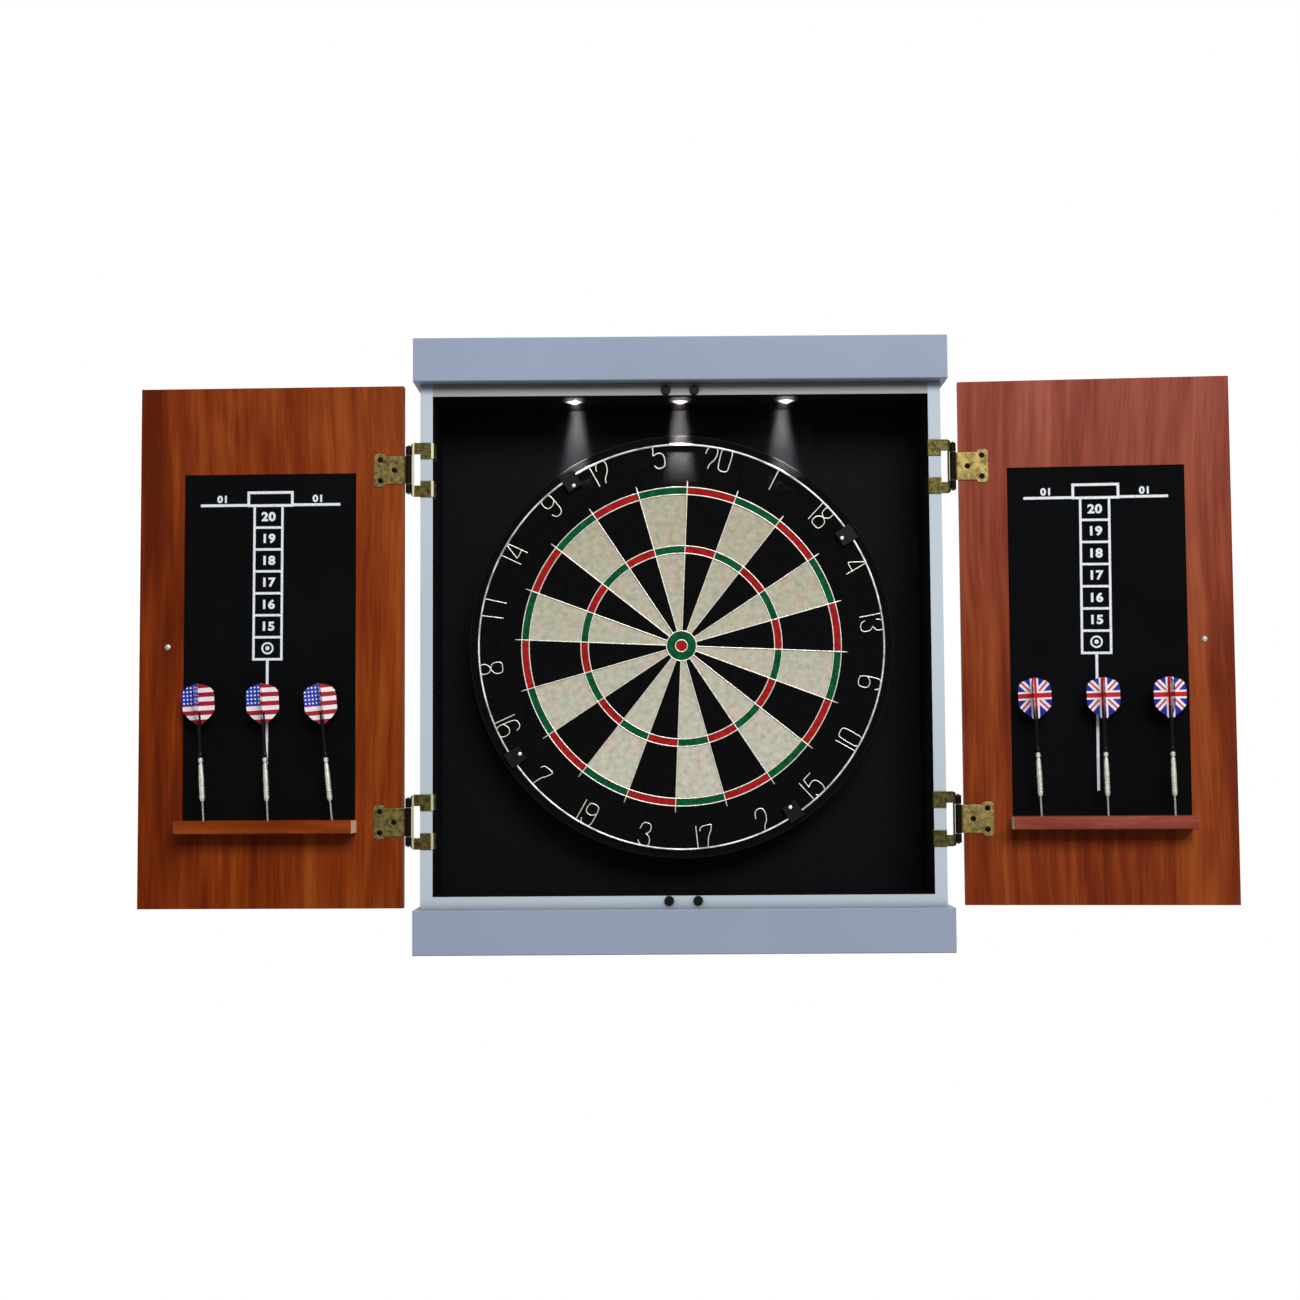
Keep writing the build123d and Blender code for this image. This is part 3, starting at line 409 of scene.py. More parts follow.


# the grain, the rosiness at the foot and at the head, and the slope; the right door's rosier top and the
# right shelf's rosy tone are painted light
dress(cherryVeneer("cherryLeftDoor", upright, (0.0, 0.04), 0.55), "left_door_panel")
dress(cherryVeneer("cherryRightDoor", upright, (0.08, 0.75), 0.0), "right_door_panel")
dress(cherryVeneer("cherryLeftShelf", level, (0.0, 0.0), 0.0, True), "left_shelf")
dress(cherryVeneer("cherryRightShelf", level, (0.8, 0.8), 0.0, True), "right_shelf")


def chalkboardPaint():
    # matt slate paint: a fine grit, and the faint clouds of 80 mm that wiped chalk leaves
    material, add, coords = startFinish("chalkboardPaint")
    cloud = add("ShaderNodeTexNoise", {"Vector": coords, "Scale": 12, "Detail": 6})
    grit = add("ShaderNodeTexNoise", {"Vector": coords, "Scale": 1200, "Detail": 2})
    return endFinish(material, {
        "Base Color": add("ShaderNodeValToRGB", [cloud], stops=[(0.35, "#050506"), (0.75, "#090a0d")]),
        "Roughness": 0.75,
        "Specular IOR Level": 0.03,
        "Normal": add("ShaderNodeBump", {"Height": grit, "Strength": 0.15, "Distance": 0.1 * mm}),
    })


dress(chalkboardPaint(), "left_scoreboard", "right_scoreboard")

metal = {
    "patina": (0.35, 0.62),
    # the brighter edges are partly rubbed wear and partly a painted highlight
    "wear": (0.97, 0.75),  # none to full, by the cosine between an edge's round and its face
    "knuckle": (5.5 * mm, 3.6 * mm),  # reach from the pin, from leaf to knuckle
    "dulling": 0.1,
    # painted shade and dark reflection on the hinge knuckles
    "knuckleShade": "#14110b",
}


def wornMetal(name, light, dark, edgeWearAndGlint, polish, scale=160, edgeRadius=0.5 * mm, shadedKnuckles=False, bends=()):
    # metal with a blotchy patina, 6 mm as a rule, brighter at its rounded edges: partly rubbed wear, partly
    # a painted highlight
    material, add, coords = startFinish(name)
    patina = add("ShaderNodeTexNoise", {"Vector": coords, "Scale": scale, "Detail": 5, "Roughness": 0.6})
    colour = add("ShaderNodeValToRGB", [patina], stops=zip(metal["patina"], (dark, light)))
    if shadedKnuckles:
        # painted shade and dark reflection: almost black on the knuckles
        pin = joints["right_door_swing"]["pos_m"]  # the left one mirrors it
        reach = add("ShaderNodeVectorMath", [coords], operation="ABSOLUTE")
        reach = add("ShaderNodeVectorMath", [reach, (1, 1, 0)], operation="MULTIPLY")
        reach = add("ShaderNodeVectorMath", [reach, (pin[0], -pin[1], 0)], operation="DISTANCE")
        knuckle = add("ShaderNodeMapRange", [reach, *metal["knuckle"]])
        colour = add("ShaderNodeMix", {0: knuckle, 6: colour, 7: metal["knuckleShade"]}, data_type="RGBA")
    # brighter rounded edges: partly rubbed wear, partly a painted highlight
    rounded = add("ShaderNodeBevel", {"Radius": edgeRadius}, samples=4)
    flat = add("ShaderNodeNewGeometry").outputs["Normal"]
    turn = add("ShaderNodeVectorMath", [rounded, flat], operation="DOT_PRODUCT")
    edges = add("ShaderNodeMapRange", [turn, *metal["wear"]])
    across = add("ShaderNodeSeparateXYZ", [coords])
    # painted highlights: bright bands at given places across the leaf
    for place, reach in bends:
        bend = add("ShaderNodeMath", [across, place, reach], operation="COMPARE")
        edges = add("ShaderNodeMath", [edges, bend], operation="MAXIMUM")
    return endFinish(material, {
        "Base Color": add("ShaderNodeMix", {0: edges, 6: colour, 7: edgeWearAndGlint}, data_type="RGBA"),
        "Metallic": 1.0,
        "Roughness": add("ShaderNodeMapRange", [patina, 0.3, 0.7, polish + metal["dulling"], polish]),
        "Normal": rounded,
    })


# antique brass: darkest on the frame's leaves, with painted highlights only at the bends on the left
frameGlintBands = [(-260.2 * mm, 1.5 * mm), (-280.3 * mm, 1.0 * mm)]
frameBrass = wornMetal("frameBrass", "#4d4726", "#241f10", "#a19a7c", 0.36, 190, 0.7 * mm, True, frameGlintBands)
dress(frameBrass, "frame_hinge_leaves", "hinge_pins")
# the two doors' leaves are one brass; the right ones' lighter colours are painted light
leftBrass = wornMetal("leftLeafBrass", "#6c6238", "#382f1b", "#a3926a", 0.36, 190, 0.9 * mm, True)
dress(leftBrass, "left_door_hinge_leaves")
rightBrass = wornMetal("rightLeafBrass", "#7f7042", "#4c4126", "#b5a274", 0.36, 190, 0.9 * mm, True)
dress(rightBrass, "right_door_hinge_leaves")
dress(wornMetal("knobBrass", "#76673f", "#594c2d", "#a3905c", 0.36), "left_knob", "right_knob")
brownedSteel = wornMetal("brownedSteel", "#16130e", "#0d0b08", "#2a2619", 0.4)
dress(brownedSteel, "cabinet_screws", "left_door_hinge_screws", "right_door_hinge_screws")
zincSteel = wornMetal("zincPlatedSteel", "#b9b8b2", "#8f8e88", "#d8d7d0", 0.3)
dress(zincSteel, "left_knob_screw", "right_knob_screw", "board_bracket", "centre_screw")
dress(wornMetal("satinNickel", "#a8adb2", "#868b91", "#c9cdd1", 0.35), "lamp_housings")


def mouldedPlastic(name, colour, glint, roughness):
    # moulded ABS or nylon: even black with the tool's fine grain of 0.7 mm
    material, add, coords = startFinish(name)
    grain = add("ShaderNodeTexNoise", {"Vector": coords, "Scale": 1500, "Detail": 2})
    return endFinish(material, {
        "Base Color": add("ShaderNodeValToRGB", [grain], stops=[(0.3, colour), (0.7, glint)]),
        "Roughness": roughness,
        "Specular IOR Level": 0.08,
        "Normal": add("ShaderNodeBump", {"Height": grain, "Strength": 0.15, "Distance": 0.1 * mm}),
    })


blackPlastic = mouldedPlastic("blackPlastic", "#070708", "#0e0e10", 0.4)
dress(blackPlastic, "catch_magnets", "battery_pack", "ring_clips")
glossNylon = mouldedPlastic("glossNylon", "#070708", "#0d0d0f", 0.22)


glare = {"core": 0.45, "strengths": (1.6, 0.12)}  # share of the radius; in the core and at the rim


def litLens():
    # frosted polycarbonate over a lit LED, with a grain of 1.1 mm
    material, add, coords = startFinish("litLens")
    frost = add("ShaderNodeTexNoise", {"Vector": coords, "Scale": 900, "Detail": 2})
    # hot over the LED, dimmer towards the rim
    places = add("ShaderNodeSeparateXYZ", [coords]).outputs
    away = add("ShaderNodeMath", [places["X"], lensPitch / 2], operation="PINGPONG")
    aside = add("ShaderNodeMath", [places["Y"], lensMiddle], operation="SUBTRACT")
    reach = add("ShaderNodeVectorMath", [add("ShaderNodeCombineXYZ", [away, aside])], operation="LENGTH")
    core = glare["core"] * lensRadius
    return endFinish(material, {
        "Base Color": add("ShaderNodeValToRGB", [frost], stops=[(0.3, "#c9cbcd"), (0.7, "#d6d8da")]),
        "Roughness": 0.5,
        "Emission Color": "#fffdf6",
        "Emission Strength": add("ShaderNodeMapRange", [reach, core, lensRadius, *glare["strengths"]]),
    })


dress(litLens(), "lamp_lenses")
print("cabinet and door finishes")

board = {
    "turn": math.radians(11.5),  # clockwise, as it was hung
    "sectors": 20,
    "double": (162 * mm, 170 * mm),
    "treble": (99 * mm, 107 * mm),
    "bull": 15.9 * mm,
    "innerBull": 6.35 * mm,
    "wireRadius": 0.75 * mm,
    "ragged": 1.2 * mm,  # how far the printing follows the fibres
    # half height over which the board's painted shade darkens towards the top
    "topShade": 160 * mm,
    "face": -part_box("board_face")[0].y,
    "inks": {
        "cream": [(0.3, "#a9a492"), (0.5, "#c6c2b1"), (0.7, "#dad7c9")],
        "black": [(0.3, "#060606"), (0.7, "#0c0c0e")],
        "red": [(0.3, "#8a1517"), (0.7, "#b92422")],
        "green": [(0.3, "#0a4024"), (0.7, "#14623a")],
    },
}


def printedSisal():
    # sisal pressed on end and printed: cream and black sectors, red and green beds;
    # its fibres are drawn 1.1 mm apart, coarser than real ones so that they show
    material, add, coords = startFinish("printedSisal")
    soft = add("ShaderNodeTexNoise", {"Vector": coords, "Scale": 420, "Detail": 2}).outputs["Color"]
    ragged = add("ShaderNodeVectorMath", [soft, (0.5, 0.5, 0.5)], operation="SUBTRACT")
    ragged = add("ShaderNodeVectorMath", {0: ragged, "Scale": board["ragged"]}, operation="SCALE")
    spot = add("ShaderNodeVectorMath", [coords, ragged], operation="ADD")
    flat = add("ShaderNodeVectorMath", [spot, (1, 0, 1)], operation="MULTIPLY")
    radius = add("ShaderNodeVectorMath", [flat], operation="LENGTH")
    places = add("ShaderNodeSeparateXYZ", [spot]).outputs
    angle = add("ShaderNodeMath", [places["X"], places["Z"]], operation="ARCTAN2")
    perSector = board["sectors"] / math.tau
    firstSector = board["sectors"] + 0.5 - board["turn"] * perSector
    sector = add("ShaderNodeMath", [angle, perSector, firstSector], operation="MULTIPLY_ADD")
    sector = add("ShaderNodeMath", [sector], operation="FLOOR")
    pale = add("ShaderNodeMath", [sector, 2.0], operation="FLOORED_MODULO")
    fibres = add("ShaderNodeTexVoronoi", {"Vector": coords, "Scale": 900})
    clumps = add("ShaderNodeTexNoise", {"Vector": coords, "Scale": 150, "Detail": 5})
    tints = add("ShaderNodeTexNoise", {"Vector": coords, "Scale": 60, "Detail": 3})
    ink = {name: add("ShaderNodeValToRGB", [clumps], stops=stops) for name, stops in board["inks"].items()}
    tint = add("ShaderNodeValToRGB", [tints], stops=[(0.35, "#bcc6ae"), (0.5, "#cfccbc"), (0.65, "#d6bda9")])
    cream = add("ShaderNodeMix", {0: 0.4, 6: ink["cream"], 7: tint}, data_type="RGBA")
    # painted shade from the cabinet's top: the board is darker and a little yellower towards the top
    height = add("ShaderNodeMapRange", [places["Z"], -board["topShade"], board["topShade"]])
    topShade = add("ShaderNodeValToRGB", [height], stops=[(0.1, "#ffffff"), (0.9, "#e9e7dd")])
    cream = add("ShaderNodeMix", {0: 1.0, 6: cream, 7: topShade}, data_type="RGBA", blend_type="MULTIPLY")
    colour = add("ShaderNodeMix", {0: pale, 6: ink["black"], 7: cream}, data_type="RGBA")
    beds = add("ShaderNodeMix", {0: pale, 6: ink["red"], 7: ink["green"]}, data_type="RGBA")
    for low, high in (board["double"], board["treble"]):
        bed = add("ShaderNodeMath", [radius, (low + high) / 2, (high - low) / 2], operation="COMPARE")
        colour = add("ShaderNodeMix", {0: bed, 6: colour, 7: beds}, data_type="RGBA")
    for limit, name in ((board["bull"], "green"), (board["innerBull"], "red")):
        inside = add("ShaderNodeMath", [radius, limit], operation="LESS_THAN")
        colour = add("ShaderNodeMix", {0: inside, 6: colour, 7: ink[name]}, data_type="RGBA")
    outside = add("ShaderNodeMath", [radius, board["double"][1]], operation="GREATER_THAN")
    colour = add("ShaderNodeMix", {0: outside, 6: colour, 7: ink["black"]}, data_type="RGBA")
    dots = add("ShaderNodeValToRGB", [fibres], stops=[(0.1, "#eeeeee"), (0.6, "#ffffff")])
    colour = {0: 0.9, 6: colour, 7: dots}
    return endFinish(material, {
        "Base Color": add("ShaderNodeMix", colour, data_type="RGBA", blend_type="MULTIPLY"),
        "Roughness": 0.88,
        "Specular IOR Level": 0.04,
        "Normal": add("ShaderNodeBump", {"Height": fibres, "Strength": 0.3, "Distance": 0.3 * mm}),
    })


dress(printedSisal(), "board_face")


def rimTape():
    # black band round the board, woven at 3 mm
    material, add, coords = startFinish("rimTape")
    across = add("ShaderNodeMapping", {"Vector": coords, "Scale": (1, 4, 1)})
    weave = add("ShaderNodeTexNoise", {"Vector": across, "Scale": 350, "Detail": 3})
    return endFinish(material, {
        "Base Color": add("ShaderNodeValToRGB", [weave], stops=[(0.3, "#070708"), (0.7, "#111113")]),
        "Roughness": 0.6,
        "Specular IOR Level": 0.05,
        "Normal": add("ShaderNodeBump", {"Height": weave, "Strength": 0.2, "Distance": 0.2 * mm}),
    })


def rawChipboard():
    # raw chipboard: flat flakes of 4 mm in two browns
    material, add, coords = startFinish("rawChipboard")
    flakes = add("ShaderNodeTexVoronoi", {"Vector": coords, "Scale": 260})
    hue = flakes.outputs["Color"]
    return endFinish(material, {
        "Base Color": add("ShaderNodeValToRGB", [hue], stops=[(0.2, "#7a5f40"), (0.8, "#b3946a")]),
        "Roughness": 0.85,
        "Normal": add("ShaderNodeBump", {"Height": flakes, "Strength": 0.3, "Distance": 0.3 * mm}),
    })


dress(rimTape(), "board_rim")
dress(rawChipboard(), "board_backing")
brightNail = wornMetal("brightNail", "#e4e4e0", "#c8c8c4", "#f4f4f0", 0.25, 300)
galvanisedWire = wornMetal("galvanisedWire", "#d2cec5", "#aeaaa1", "#dedad2", 0.32, 300)
# the ring's wire is duller, with wide grey blotches
dress(wornMetal("dullWire", "#c9cac8", "#7d7e7d", "#cfcfcd", 0.4, 60), "number_ring")

spiderRings = {
    "doubleOuter": board["double"][1],
    "doubleInner": board["double"][0],
    "trebleOuter": board["treble"][1],
    "trebleInner": board["treble"][0],
    "bull": board["bull"],
    "innerBull": board["innerBull"],
}
spiderSizes = {
    **spiderRings,
    "ringSteps": 144,
    "wireSides": 8,
    "wireRadius": board["wireRadius"],
    "spokes": board["sectors"],
    "spokeSteps": 60,
    "spokeEnd": 178 * mm,
    "bendStart": 174 * mm,
    "bendSlope": -0.45,
    "distance": -board["face"] - 0.55 * mm,
    "turn": -board["turn"],
}


def growSpider():
    # rings and spokes drawn flat, then given round wire
    tree, add, size = startTree("spiderWires", spiderSizes)
    lines = add("GeometryNodeJoinGeometry")
    steps = size["ringSteps"]
    for name in spiderRings:
        ring = add("GeometryNodeCurvePrimitiveCircle", {"Resolution": steps, "Radius": size[name]})
        tree.links.new(ring.outputs[0], lines.inputs[0])
    start = add("ShaderNodeCombineXYZ", [size["bull"]])
    end = add("ShaderNodeCombineXYZ", [size["spokeEnd"]])
    spoke = add("GeometryNodeCurvePrimitiveLine", [start, end])
    spoke = add("GeometryNodeResampleCurve", {"Curve": spoke, "Count": size["spokeSteps"]})
    along = add("ShaderNodeSeparateXYZ", [add("GeometryNodeInputPosition")])
    past = add("ShaderNodeMath", [along, size["bendStart"]], operation="SUBTRACT")
    past = add("ShaderNodeMath", [past, 0.0], operation="MAXIMUM")
    dip = add("ShaderNodeMath", [past, size["bendSlope"]], operation="MULTIPLY")
    dip = add("ShaderNodeCombineXYZ", {"Z": dip})
    spoke = add("GeometryNodeSetPosition", {"Geometry": spoke, "Offset": dip})
    points = add("GeometryNodePoints", [size["spokes"]])
    step = add("ShaderNodeMath", [math.tau, size["spokes"]], operation="DIVIDE")
    between = add("ShaderNodeMath", [add("GeometryNodeInputIndex"), 0.5], operation="ADD")
    angle = add("ShaderNodeMath", [between, step, size["turn"]], operation="MULTIPLY_ADD")
    angle = add("ShaderNodeCombineXYZ", {"Z": angle})
    spokes = add("GeometryNodeInstanceOnPoints", {"Points": points, "Instance": spoke, "Rotation": angle})
    spokes = add("GeometryNodeRealizeInstances", [spokes])
    tree.links.new(spokes.outputs[0], lines.inputs[0])
    section = {"Resolution": size["wireSides"], "Radius": size["wireRadius"]}
    section = add("GeometryNodeCurvePrimitiveCircle", section)
    wires = add("GeometryNodeCurveToMesh", {"Curve": lines, "Profile Curve": section, "Fill Caps": True})
    return growTree(tree, spiderSizes, size["distance"], wires, galvanisedWire)


spider = addPiece("spiderWires", growSpider(), galvanisedWire, "dartboard")
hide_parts("spider")

numerals = {
    "order": (20, 1, 18, 4, 13, 6, 10, 15, 2, 17, 3, 19, 7, 16, 8, 11, 14, 9, 12, 5),
    "feetOut": range(6, 14),  # from 10 round to 16 the feet stand on the ring
    "height": 24 * mm,
    "width": 12.5 * mm,
    "wireRadius": 0.7 * mm,
    "ringRadius": 215.5 * mm,
    "middleRadius": 207 * mm,
    # shifts of a number's digits
    "single": (0,),
    "pair": (-7.8 * mm, 7.8 * mm),
    "afterOne": (-8.3 * mm, 2.4 * mm),
    "ones": (-8.8 * mm, 8.8 * mm),
}
# the bends of each digit's strokes, across and up, in units of its size
wireStrokes = {
    "0": [[
        (0, 0), (-0.45, 0), (-0.5, 0.3), (-0.48, 0.72), (-0.42, 1), (0, 1.02),
        (0.45, 1), (0.5, 0.66), (0.44, 0.3), (0.42, 0), (0, 0),
    ]],
    "1": [[(0.03, 0), (0, 0.5), (-0.04, 1)]],
    "2": [[
        (-0.5, 0.66), (-0.42, 0.92), (0, 1.04), (0.46, 0.98),
        (0.5, 0.68), (0.3, 0.4), (-0.1, 0.22), (-0.16, 0),
    ]],
    "3": [
        [(-0.46, 0.72), (-0.4, 0.98), (0.05, 1.04), (0.5, 0.96), (0.46, 0.62), (0.1, 0.54)],
        [(0.1, 0.54), (0.46, 0.48), (0.56, 0.06), (0.12, -0.02), (-0.34, 0.06), (-0.44, 0.22)],
    ],
    "4": [[
        (0.42, 0.3), (-0.36, 0.27), (-0.52, 0.3), (-0.4, 0.42), (0.06, 0.98),
        (0.16, 1.02), (0.22, 0.9), (0.3, 0.5), (0.4, 0),
    ]],
    "5": [
        [(0.5, 1), (-0.3, 0.98), (-0.4, 0.97), (-0.42, 0.86), (-0.46, 0.58)],
        [(-0.46, 0.58), (0, 0.72), (0.5, 0.58), (0.54, 0.08), (0.1, -0.02), (-0.3, 0), (-0.46, 0.14)],
    ],
    "6": [[
        (0.5, 0.78), (0.4, 1), (-0.1, 1.03), (-0.46, 0.92), (-0.5, 0.5), (-0.5, 0.08), (-0.25, 0),
        (0.25, 0), (0.5, 0.1), (0.5, 0.42), (0.2, 0.52), (-0.25, 0.5), (-0.46, 0.36),
    ]],
    "7": [[
        (-0.56, 0.76), (-0.52, 0.92), (-0.1, 0.98), (0.45, 1),
        (0.56, 0.97), (0.4, 0.7), (0.06, 0.42), (0, 0),
    ]],
    "8": [[
        (0, 0.53), (-0.5, 0.44), (-0.52, 0.02), (0, -0.01), (0.52, 0.02), (0.5, 0.44), (0, 0.53),
        (-0.4, 0.62), (-0.42, 0.99), (0, 1.02), (0.42, 0.99), (0.4, 0.62), (0, 0.53),
    ]],
}
wireStrokes["9"] = [[(-x, 1 - y) for x, y in wireStrokes["6"][0]]]  # a 6 turned over


def bentStroke(stroke, shift, angle, feetOut):
    # one stroke's bends, laid round the ring
    line = []
    for x, y in stroke:
        across = (x * numerals["width"] + shift) / numerals["middleRadius"]
        radius = numerals["ringRadius"] - (y if feetOut else 1 - y) * numerals["height"]
        turn = angle - across if feetOut else angle + across
        line.append((radius * math.sin(turn), radius * math.cos(turn)))
    return line


def bendNumerals():
    low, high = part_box("number_ring")
    curve = bpy.data.curves.new("numerals", "CURVE")
    curve.dimensions = "3D"
    curve.bevel_depth = numerals["wireRadius"]
    curve.bevel_resolution = 2
    curve.use_fill_caps = True
    for place, number in enumerate(numerals["order"]):
        angle = board["turn"] + place * math.tau / board["sectors"]
        feetOut = place in numerals["feetOut"]
        kind = "single" if number < 10 else "ones" if number == 11 else "afterOne" if number < 20 else "pair"
        for digit, shift in zip(str(number), numerals[kind]):
            for stroke in wireStrokes[digit]:
                line = bentStroke(stroke, shift, angle, feetOut)
                spline = curve.splines.new("NURBS")
                spline.points.add(len(line) - 1)
                for point, (x, z) in zip(spline.points, line):
                    point.co = (x, (low.y + high.y) / 2, z, 1)
                spline.order_u = 3
                spline.use_endpoint_u = True
                spline.resolution_u = 6
    return plainMesh(addObject("numerals", curve))


addPiece("numerals", bendNumerals(), galvanisedWire, "number_ring")

nailSizes = {
    "count": 4,
    "radius": 206 * mm,
    "headRadius": 2.2 * mm,
    "dome": 0.9 * mm,
    "distance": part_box("ring_clips")[0].y,
    "turn": math.pi / 4 - board["turn"],
}


def growNails():
    # a domed nail head in each clip of the number ring
    tree, add, size = startTree("clipNails", nailSizes)
    ring = add("GeometryNodeMeshCircle", [size["count"], size["radius"]])
    head = add("GeometryNodeMeshUVSphere", {"Segments": 16, "Rings": 8, "Radius": 1.0})
    domed = add("ShaderNodeCombineXYZ", [size["headRadius"], size["headRadius"], size["dome"]])
    heads = add("GeometryNodeInstanceOnPoints", {"Points": ring, "Instance": head, "Scale": domed})
    turn = add("ShaderNodeCombineXYZ", {"Z": size["turn"]})
    spun = add("GeometryNodeTransform", {"Geometry": heads, "Rotation": turn})
    return growTree(tree, nailSizes, size["distance"], spun, brightNail)


addPiece("clipNails", growNails(), brightNail, "dartboard")
print("board, spider and numerals")

score = {
    "ink": 0.12 * mm,
    "sunk": 0.2,  # share of the ink that is in the board
    "line": 2.8 * mm,
    "cellLine": 2.5 * mm,
    "header": (49 * mm, 16.5 * mm),
    "headerTop": 17.5 * mm,
    "barWidth": 148 * mm,
    "barDrop": 33.5 * mm,
    "cellWidth": 32 * mm,
    "cellPitch": 23.1 * mm,
    "cells": ("20", "19", "18", "17", "16", "15", ""),  # the last is the bull
    "bull": (6.4 * mm, 4.6 * mm, 2.2 * mm),  # the ring, its hole and the dot
    "digitHeight": 9.2 * mm,
    # the numerals' type: size and stroke as shares of the height, gap, and width
    "type": {"size": 1.38, "stroke": 0.055, "gap": 1.08, "width": 1.12},
    "tail": (2.8 * mm, 141 * mm),
    "sideShift": 50.5 * mm,
    "sideDrop": 25.6 * mm,
    "sideHeight": 7.3 * mm,
    # each board's column was screened a little off and out of plumb
    "columnShift": {"left": -2 * mm, "right": -1 * mm},
    "columnTilt": {"left": math.radians(0.15), "right": math.radians(0.35)},
}


def scoreboardPlace(side, name):
    # from across, up and out of the board's face, at its top middle, to the door
    joint = joints[f"{name}_door_swing"]
    swing = math.radians(180 - joint["range_deg"][1])
    pivot = Vector(joint["pos_m"])
    across = Vector((math.cos(swing), -side * math.sin(swing), 0))
    out = Vector((-side * math.sin(swing), -math.cos(swing), 0))
    corners = [vertex.co - pivot for vertex in nodes[f"{name}_scoreboard"].data.vertices]
    places = [corner.dot(across) for corner in corners]
    middle = across * (min(places) + max(places)) / 2
    face = out * max(corner.dot(out) for corner in corners)
    top = Vector((0, 0, max(corner.z for corner in corners)))
    turn = Matrix((across, Vector((0, 0, 1)), out)).transposed().to_4x4()
    return Matrix.Translation(pivot + middle + face + top) @ turn


inkFaces = (-score["sunk"] * score["ink"], score["ink"])


def addBar(mesh, x, y, width, height):
    # a printed bar centred at x, y
    corners = []
    for z in inkFaces:
        for dx, dy in square:
            corners.append(mesh.verts.new((x + dx * width / 2, y + dy * height / 2, z)))
    for loop in ((3, 2, 1, 0), (4, 5, 6, 7), (0, 1, 5, 4), (1, 2, 6, 5), (2, 3, 7, 6), (3, 0, 4, 7)):
        mesh.faces.new([corners[i] for i in loop])


def addBull(mesh, x, y, radii, steps=40):
    # a printed ring with a dot in it
    outer, inner, dot = radii
    loops = {}
    ways = [(math.cos(math.tau * i / steps), math.sin(math.tau * i / steps)) for i in range(steps)]
    for radius in radii:
        for z in inkFaces:
            loops[radius, z] = [mesh.verts.new((x + radius * c, y + radius * s, z)) for c, s in ways]
    back, front = inkFaces
    ring = [(outer, back), (outer, front), (inner, front), (inner, back), (outer, back)]
    for start, end in (*zip(ring, ring[1:]), ((dot, back), (dot, front))):
        low, high = loops[start], loops[end]
        for i in range(steps):
            mesh.faces.new((low[i - 1], low[i], high[i], high[i - 1]))
    mesh.faces.new(loops[dot, back][::-1])
    mesh.faces.new(loops[dot, front])


def addText(mesh, text, x, y, height):
    # plain numerals centred at x, y, bold and a little wide
    look = score["type"]
    font = bpy.data.curves.new("printed", "FONT")
    font.body = text
    font.align_x = "CENTER"
    font.size = height * look["size"]
    font.offset = height * look["stroke"]
    font.space_character = look["gap"]
    font.extrude = score["ink"] / 2
    font.resolution_u = 6
    printed = plainMesh(addObject("printed", font))
    heights = [vertex.co.y for vertex in printed.vertices]
    middle = (min(heights) + max(heights)) / 2
    widened = Matrix.Diagonal((look["width"], 1, 1, 1))
    printed.transform(Matrix.Translation((x, y - middle, score["ink"] / 2)) @ widened)
    mesh.from_mesh(printed)
    bpy.data.meshes.remove(printed)


def addColumn(mesh, top):
    # the numbered cells and the tail under them
    line = score["cellLine"]
    for label in score["cells"]:
        middle = top - (score["cellPitch"] - line) / 2
        top -= score["cellPitch"]
        addBar(mesh, 0, top + line / 2, score["cellWidth"], line)
        for sign in (-1, 1):
            addBar(mesh, sign * (score["cellWidth"] - line) / 2, middle, line, score["cellPitch"] - line)
        if label:
            addText(mesh, label, 0, middle, score["digitHeight"])
        else:
            addBull(mesh, 0, middle, score["bull"])
    width, height = score["tail"]
    addBar(mesh, 0, top - height / 2, width, height)


def printScoreboard(side, name):
    mesh = bmesh.new()
    width, height = score["header"]
    top = -score["headerTop"]
    addColumn(mesh, top - height)
    shift = Matrix.Translation((score["columnShift"][name], 0, 0))
    tilt = Matrix.Rotation(-score["columnTilt"][name], 4, "Z")
    hung = Matrix.Translation((0, top - height, 0))
    bmesh.ops.transform(mesh, matrix=shift @ hung @ tilt @ hung.inverted(), verts=mesh.verts)
    line = score["line"]
    wing = (score["barWidth"] - width) / 2
    for sign in (-1, 1):
        addBar(mesh, 0, top - height / 2 + sign * (height - line) / 2, width, line)
        addBar(mesh, sign * (width - line) / 2, top - height / 2, line, height - 2 * line)
        addBar(mesh, sign * (width + wing) / 2, line / 2 - score["barDrop"], wing, line)
        addText(mesh, "01", sign * score["sideShift"], -score["sideDrop"], score["sideHeight"])
    printed = bpy.data.meshes.new(f"{name}Print")
    mesh.to_mesh(printed)
    mesh.free()
    printed.transform(scoreboardPlace(side, name))
    return printed


def screenInk():
    # white screen ink, thin enough that the paint's grit of 1 mm breaks it up
    material, add, coords = startFinish("whiteScreenInk")
    wear = add("ShaderNodeTexNoise", {"Vector": coords, "Scale": 900, "Detail": 4})
    stops = [(0.28, "#8f949c"), (0.42, "#d9dfe8"), (0.7, "#eef2f8")]
    return endFinish(material, {
        "Base Color": add("ShaderNodeValToRGB", [wear], stops=stops),
        "Roughness": 0.6,
    })


whiteInk = screenInk()
for side, name in ((-1, "left"), (1, "right")):
    addPiece(f"{name}Print", printScoreboard(side, name), whiteInk, f"{name}_door")
print("scoreboards")

